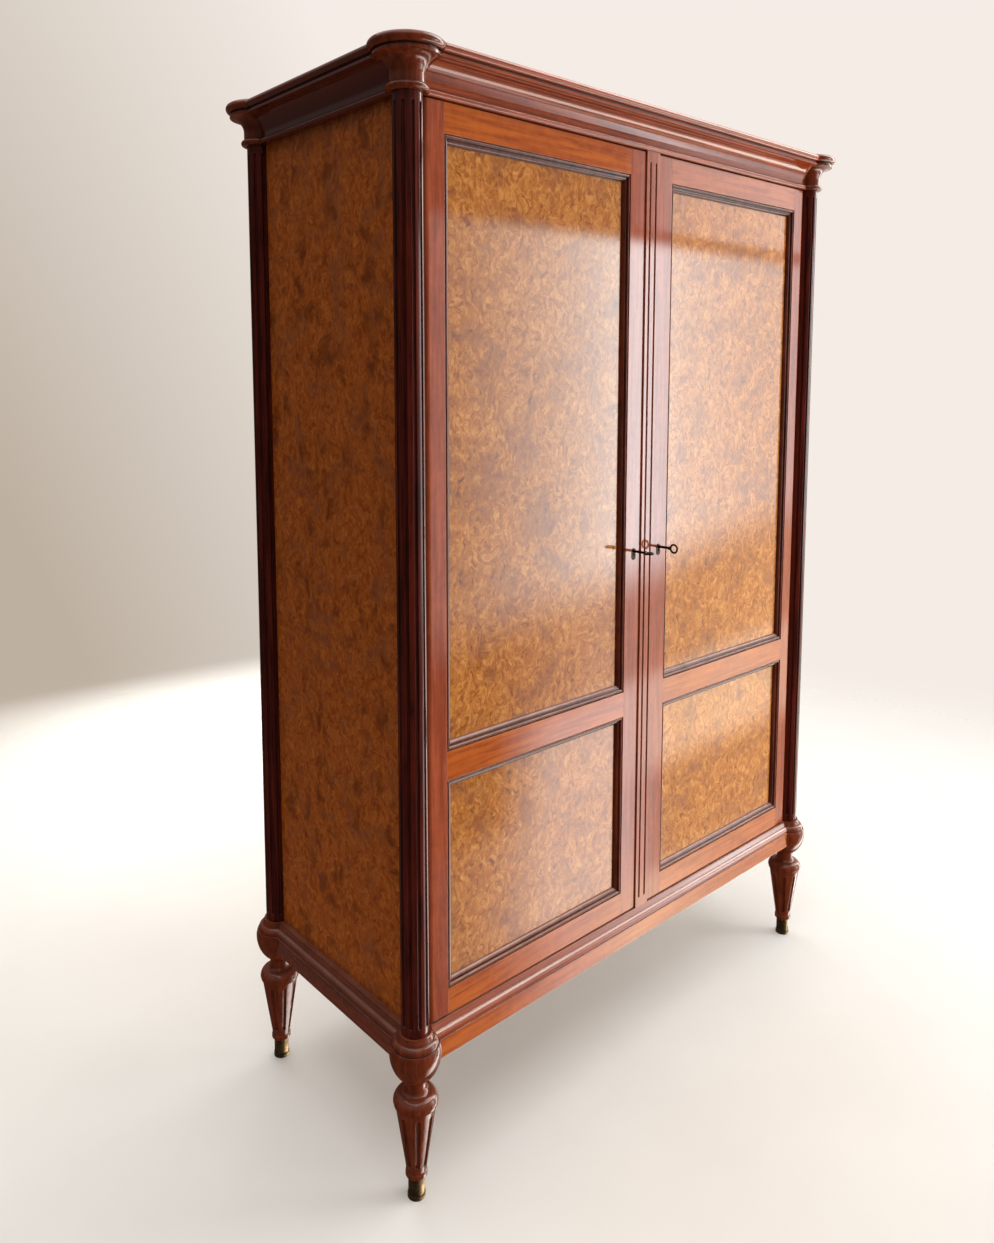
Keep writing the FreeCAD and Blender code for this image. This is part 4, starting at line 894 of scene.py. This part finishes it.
class PRESS_OT_stage(bpy.types.Operator):
    """Lays the floor and sets the light, the background and the camera"""

    bl_idname = "press.stage"
    bl_label = "Stage"

    def execute(self, context):
        stage = context.scene.press_stage
        self.camera(context, stage)
        self.floor(stage)
        self.window()
        self.lamps(context)
        self.background(context, stage)
        context.scene.view_settings.view_transform = "Standard"
        return {"FINISHED"}

    def camera(self, context, stage):
        """Stands the camera where the picture was taken from."""
        data = bpy.data.cameras.new("camera")
        camera = bpy.data.objects.new("camera", data)
        context.scene.collection.objects.link(camera)
        data.lens = stage.lens
        data.sensor_width = SENSOR_WIDTH
        data.shift_x, data.shift_y = SHIFT
        ahead = Vector(
            (
                math.sin(stage.heading) * math.cos(stage.tilt),
                math.cos(stage.heading) * math.cos(stage.tilt),
                -math.sin(stage.tilt),
            )
        )
        right = Vector((math.cos(stage.heading), -math.sin(stage.heading), 0))
        up = right.cross(ahead)
        level = Matrix((right, up, -ahead)).transposed()
        turn = Matrix.Rotation(stage.roll, 3, "Z")
        camera.matrix_world = Matrix.Translation(stage.stand) @ (level @ turn).to_4x4()
        context.scene.camera = camera

    def floor(self, stage):
        """Lays a pale floor that fades into the background all round."""
        bpy.ops.object.select_all(action="DESELECT")
        bpy.ops.mesh.primitive_circle_add(
            vertices=FLOOR_SIDES, radius=FLOOR_RADIUS, fill_type="NGON"
        )
        floor = bpy.context.active_object
        floor.name = "floor"
        floor.visible_glossy = False
        # Matt painted floor: an even, pale ground with faint drifts of tone and no gloss
        material, tree, shader = new_material("pale_floor")
        place = node(tree, "TexCoord").outputs["Object"]
        drift = node(
            tree,
            "TexNoise",
            {"Vector": place, "Scale": per_metre(FLOOR_DRIFT_MM), "Detail": 3.0},
        ).outputs["Fac"]
        pale = stage.floor_pale
        ramp = node(
            tree,
            "ValToRGB",
            {"Fac": drift},
            stops=[(0.3, (*(FLOOR_DIM * part for part in pale), 1)), (0.7, (*pale, 1))],
        ).outputs["Color"]
        away = node(tree, "VectorMath", {0: place}, operation="LENGTH").outputs["Value"]
        near, far = FLOOR_FADE
        fade = node(
            tree,
            "MapRange",
            {"Value": away, "From Min": near, "From Max": far, "To Min": 1.0, "To Max": 0.0},
            interpolation_type="SMOOTHSTEP",
        ).outputs["Result"]
        tree.links.new(ramp, shader.inputs["Base Color"])
        tree.links.new(fade, shader.inputs["Alpha"])
        shader.inputs["Roughness"].default_value = 0.85
        floor.data.materials.append(material)

    def window(self):
        """Stands a glowing sheet at the front right, which the polish mirrors."""
        bpy.ops.object.select_all(action="DESELECT")
        bpy.ops.mesh.primitive_plane_add(size=1)
        sheet = bpy.context.active_object
        sheet.name = "window_sheet"
        bpy.ops.transform.resize(value=(*SHEET_SIZE, 1))
        bpy.ops.object.transform_apply(location=False, rotation=False, scale=True)
        bpy.ops.transform.rotate(
            value=math.radians(-90), orient_axis="X", center_override=(0, 0, 0)
        )
        bpy.ops.transform.translate(value=SHEET_MIDDLE)
        bpy.ops.object.transform_apply(location=True, rotation=True, scale=False)
        # Daylight in a window and on a floor: soft bands, cool in the panes and warm low down
        material = bpy.data.materials.new("window_glow")
        tree = empty_tree(material)
        place = node(tree, "TexCoord").outputs["Object"]
        half = SHEET_SIZE[0] / 2
        across = node(
            tree,
            "MapRange",
            {
                "Value": node(tree, "SeparateXYZ", {"Vector": place}).outputs["X"],
                "From Min": SHEET_MIDDLE[0] - half,
                "From Max": SHEET_MIDDLE[0] + half,
            },
        ).outputs["Result"]
        bands = [
            node(
                tree,
                "ValToRGB",
                {"Fac": across},
                stops=[
                    (at, (*(grey * part for part in tints[at > WARM_PAST]), 1))
                    for at, grey in stops
                ],
            ).outputs["Color"]
            for stops, tints in zip(WINDOW_BANDS, WINDOW_TINTS)
        ]
        glow_tone = bands[0]
        for band, (start, stop, rise) in zip(bands[1:], WINDOW_EDGES):
            slope = node(
                tree, "VectorMath", {0: place, 1: (-rise, 0, 1)}, operation="DOT_PRODUCT"
            ).outputs["Value"]
            lift = EDGE_PIVOT * rise
            above = node(
                tree,
                "MapRange",
                {"Value": slope, "From Min": start - lift, "From Max": stop - lift},
                interpolation_type="SMOOTHSTEP",
            ).outputs["Result"]
            glow_tone = node(
                tree, "Mix", {"Factor": above, MIX_A: glow_tone, MIX_B: band}, data_type="RGBA"
            ).outputs[MIXED]
        glow = node(tree, "Emission", {"Color": glow_tone, "Strength": SHEET_GLOW}).outputs[0]
        node(tree, "OutputMaterial", {"Surface": glow})
        sheet.data.materials.append(material)
        sheet.visible_camera = False

    def lamps(self, context):
        """Hangs soft lamps in front, overhead, at the right and behind; one shows in the polish."""
        for name, place, target, wide, high, watts in LAMPS:
            data = bpy.data.lights.new(name, "AREA")
            data.shape = "RECTANGLE"
            data.size = wide
            data.size_y = high
            data.energy = watts
            lamp = bpy.data.objects.new(name, data)
            context.scene.collection.objects.link(lamp)
            lamp.location = place
            aim = Vector(target) - Vector(place)
            lamp.rotation_euler = aim.to_track_quat("-Z", "Y").to_euler()
            lamp.visible_camera = False
            lamp.visible_glossy = name == MIRRORED_LAMP

    def background(self, context, stage):
        """Shows the camera a pale wall, and lights the press from a room with a bright side."""
        world = bpy.data.worlds.new("pale_room")
        tree = empty_tree(world)
        across = (math.cos(stage.heading), -math.sin(stage.heading), WALL_RISE)
        aim = node(tree, "TexCoord").outputs["Generated"]
        side = node(
            tree, "VectorMath", {0: aim, 1: across}, operation="DOT_PRODUCT"
        ).outputs["Value"]
        share = node(
            tree, "MapRange", {"Value": side, "From Min": -0.5, "From Max": 0.5}
        ).outputs["Result"]
        ramp = node(
            tree,
            "ValToRGB",
            {"Fac": share},
            stops=[(0.0, (*stage.wall_shade, 1)), (0.5, (*stage.wall_bright, 1))],
        ).outputs["Color"]
        wall = node(tree, "Background", {"Color": ramp, "Strength": 1.0}).outputs[0]
        lit = node(
            tree, "VectorMath", {0: aim, 1: ROOM_WAY}, operation="DOT_PRODUCT"
        ).outputs["Value"]
        sideways = node(
            tree,
            "MapRange",
            {"Value": lit, "From Min": 0.4, "From Max": 0.95, "To Min": 0.1, "To Max": 2.4},
            interpolation_type="SMOOTHSTEP",
        ).outputs["Result"]
        spot = node(tree, "SeparateXYZ", {"Vector": aim})
        height = spot.outputs["Z"]
        upward = node(
            tree,
            "MapRange",
            {"Value": height, "From Min": 0.1, "From Max": 0.6, "To Min": 0.0, "To Max": 0.5},
            interpolation_type="SMOOTHSTEP",
        ).outputs["Result"]
        strength = node(
            tree, "Math", {0: sideways, 1: upward}, operation="ADD"
        ).outputs["Value"]
        path = node(tree, "LightPath")
        right = node(
            tree,
            "MapRange",
            {"Value": spot.outputs["X"], "From Min": GLINT_FROM, "From Max": GLINT_TO},
        ).outputs["Result"]
        mirrored_right = node(
            tree, "Math", {0: path.outputs["Is Glossy Ray"], 1: right}, operation="MULTIPLY"
        ).outputs["Value"]
        for plane, toward, start, power, (low, high) in GLINTS:
            flat = node(
                tree, "VectorMath", {0: aim, 1: plane}, operation="MULTIPLY"
            ).outputs["Vector"]
            unit = node(tree, "VectorMath", {0: flat}, operation="NORMALIZE").outputs["Vector"]
            near = node(
                tree, "VectorMath", {0: unit, 1: toward}, operation="DOT_PRODUCT"
            ).outputs["Value"]
            glint = node(
                tree,
                "MapRange",
                {"Value": near, "From Min": start, "From Max": GLINT_FULL, "To Max": power},
                interpolation_type="SMOOTHSTEP",
            ).outputs["Result"]
            risen = node(
                tree, "MapRange", {"Value": height, "From Min": low, "From Max": high}
            ).outputs["Result"]
            mirrored = node(
                tree, "Math", {0: mirrored_right, 1: risen}, operation="MULTIPLY"
            ).outputs["Value"]
            strength = node(
                tree, "Math", {0: glint, 1: mirrored, 2: strength}, operation="MULTIPLY_ADD"
            ).outputs["Value"]
        room = node(
            tree, "Background", {"Color": (*stage.room_light, 1), "Strength": strength}
        ).outputs[0]
        seen = path.outputs["Is Camera Ray"]
        mixed = node(tree, "MixShader", {0: seen, 1: room, 2: wall}).outputs[0]
        node(tree, "OutputWorld", {"Surface": mixed})
        context.scene.world = world


OPERATORS = (
    PRESS_OT_turnings,
    PRESS_OT_cornice,
    PRESS_OT_base,
    PRESS_OT_door_frames,
    PRESS_OT_mouldings,
    PRESS_OT_panels,
    PRESS_OT_metalwork,
    PRESS_OT_inside,
    PRESS_OT_stage,
)


class PRESS_PT_sidebar(bpy.types.Panel):
    """Lists the steps that finish the press"""

    bl_idname = "PRESS_PT_sidebar"
    bl_label = "Linen Press"
    bl_space_type = "VIEW_3D"
    bl_region_type = "UI"
    bl_category = "Press"

    def draw(self, context):
        for operator in OPERATORS:
            self.layout.operator(operator.bl_idname)


CLASSES = (PressFinish, PressStage, *OPERATORS, PRESS_PT_sidebar)


def register():
    """Makes the classes known, and gives each scene its finish and stage."""
    for cls in CLASSES:
        bpy.utils.register_class(cls)
    bpy.types.Scene.press_finish = bpy.props.PointerProperty(type=PressFinish)
    bpy.types.Scene.press_stage = bpy.props.PointerProperty(type=PressStage)


def unregister():
    """Undoes what register does, in the other order."""
    del bpy.types.Scene.press_stage
    del bpy.types.Scene.press_finish
    for cls in reversed(CLASSES):
        bpy.utils.unregister_class(cls)


def main():
    """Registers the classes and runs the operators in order."""
    register()
    for operator in OPERATORS:
        group, name = operator.bl_idname.split(".")
        getattr(getattr(bpy.ops, group), name)()


if __name__ == "__main__":
    main()
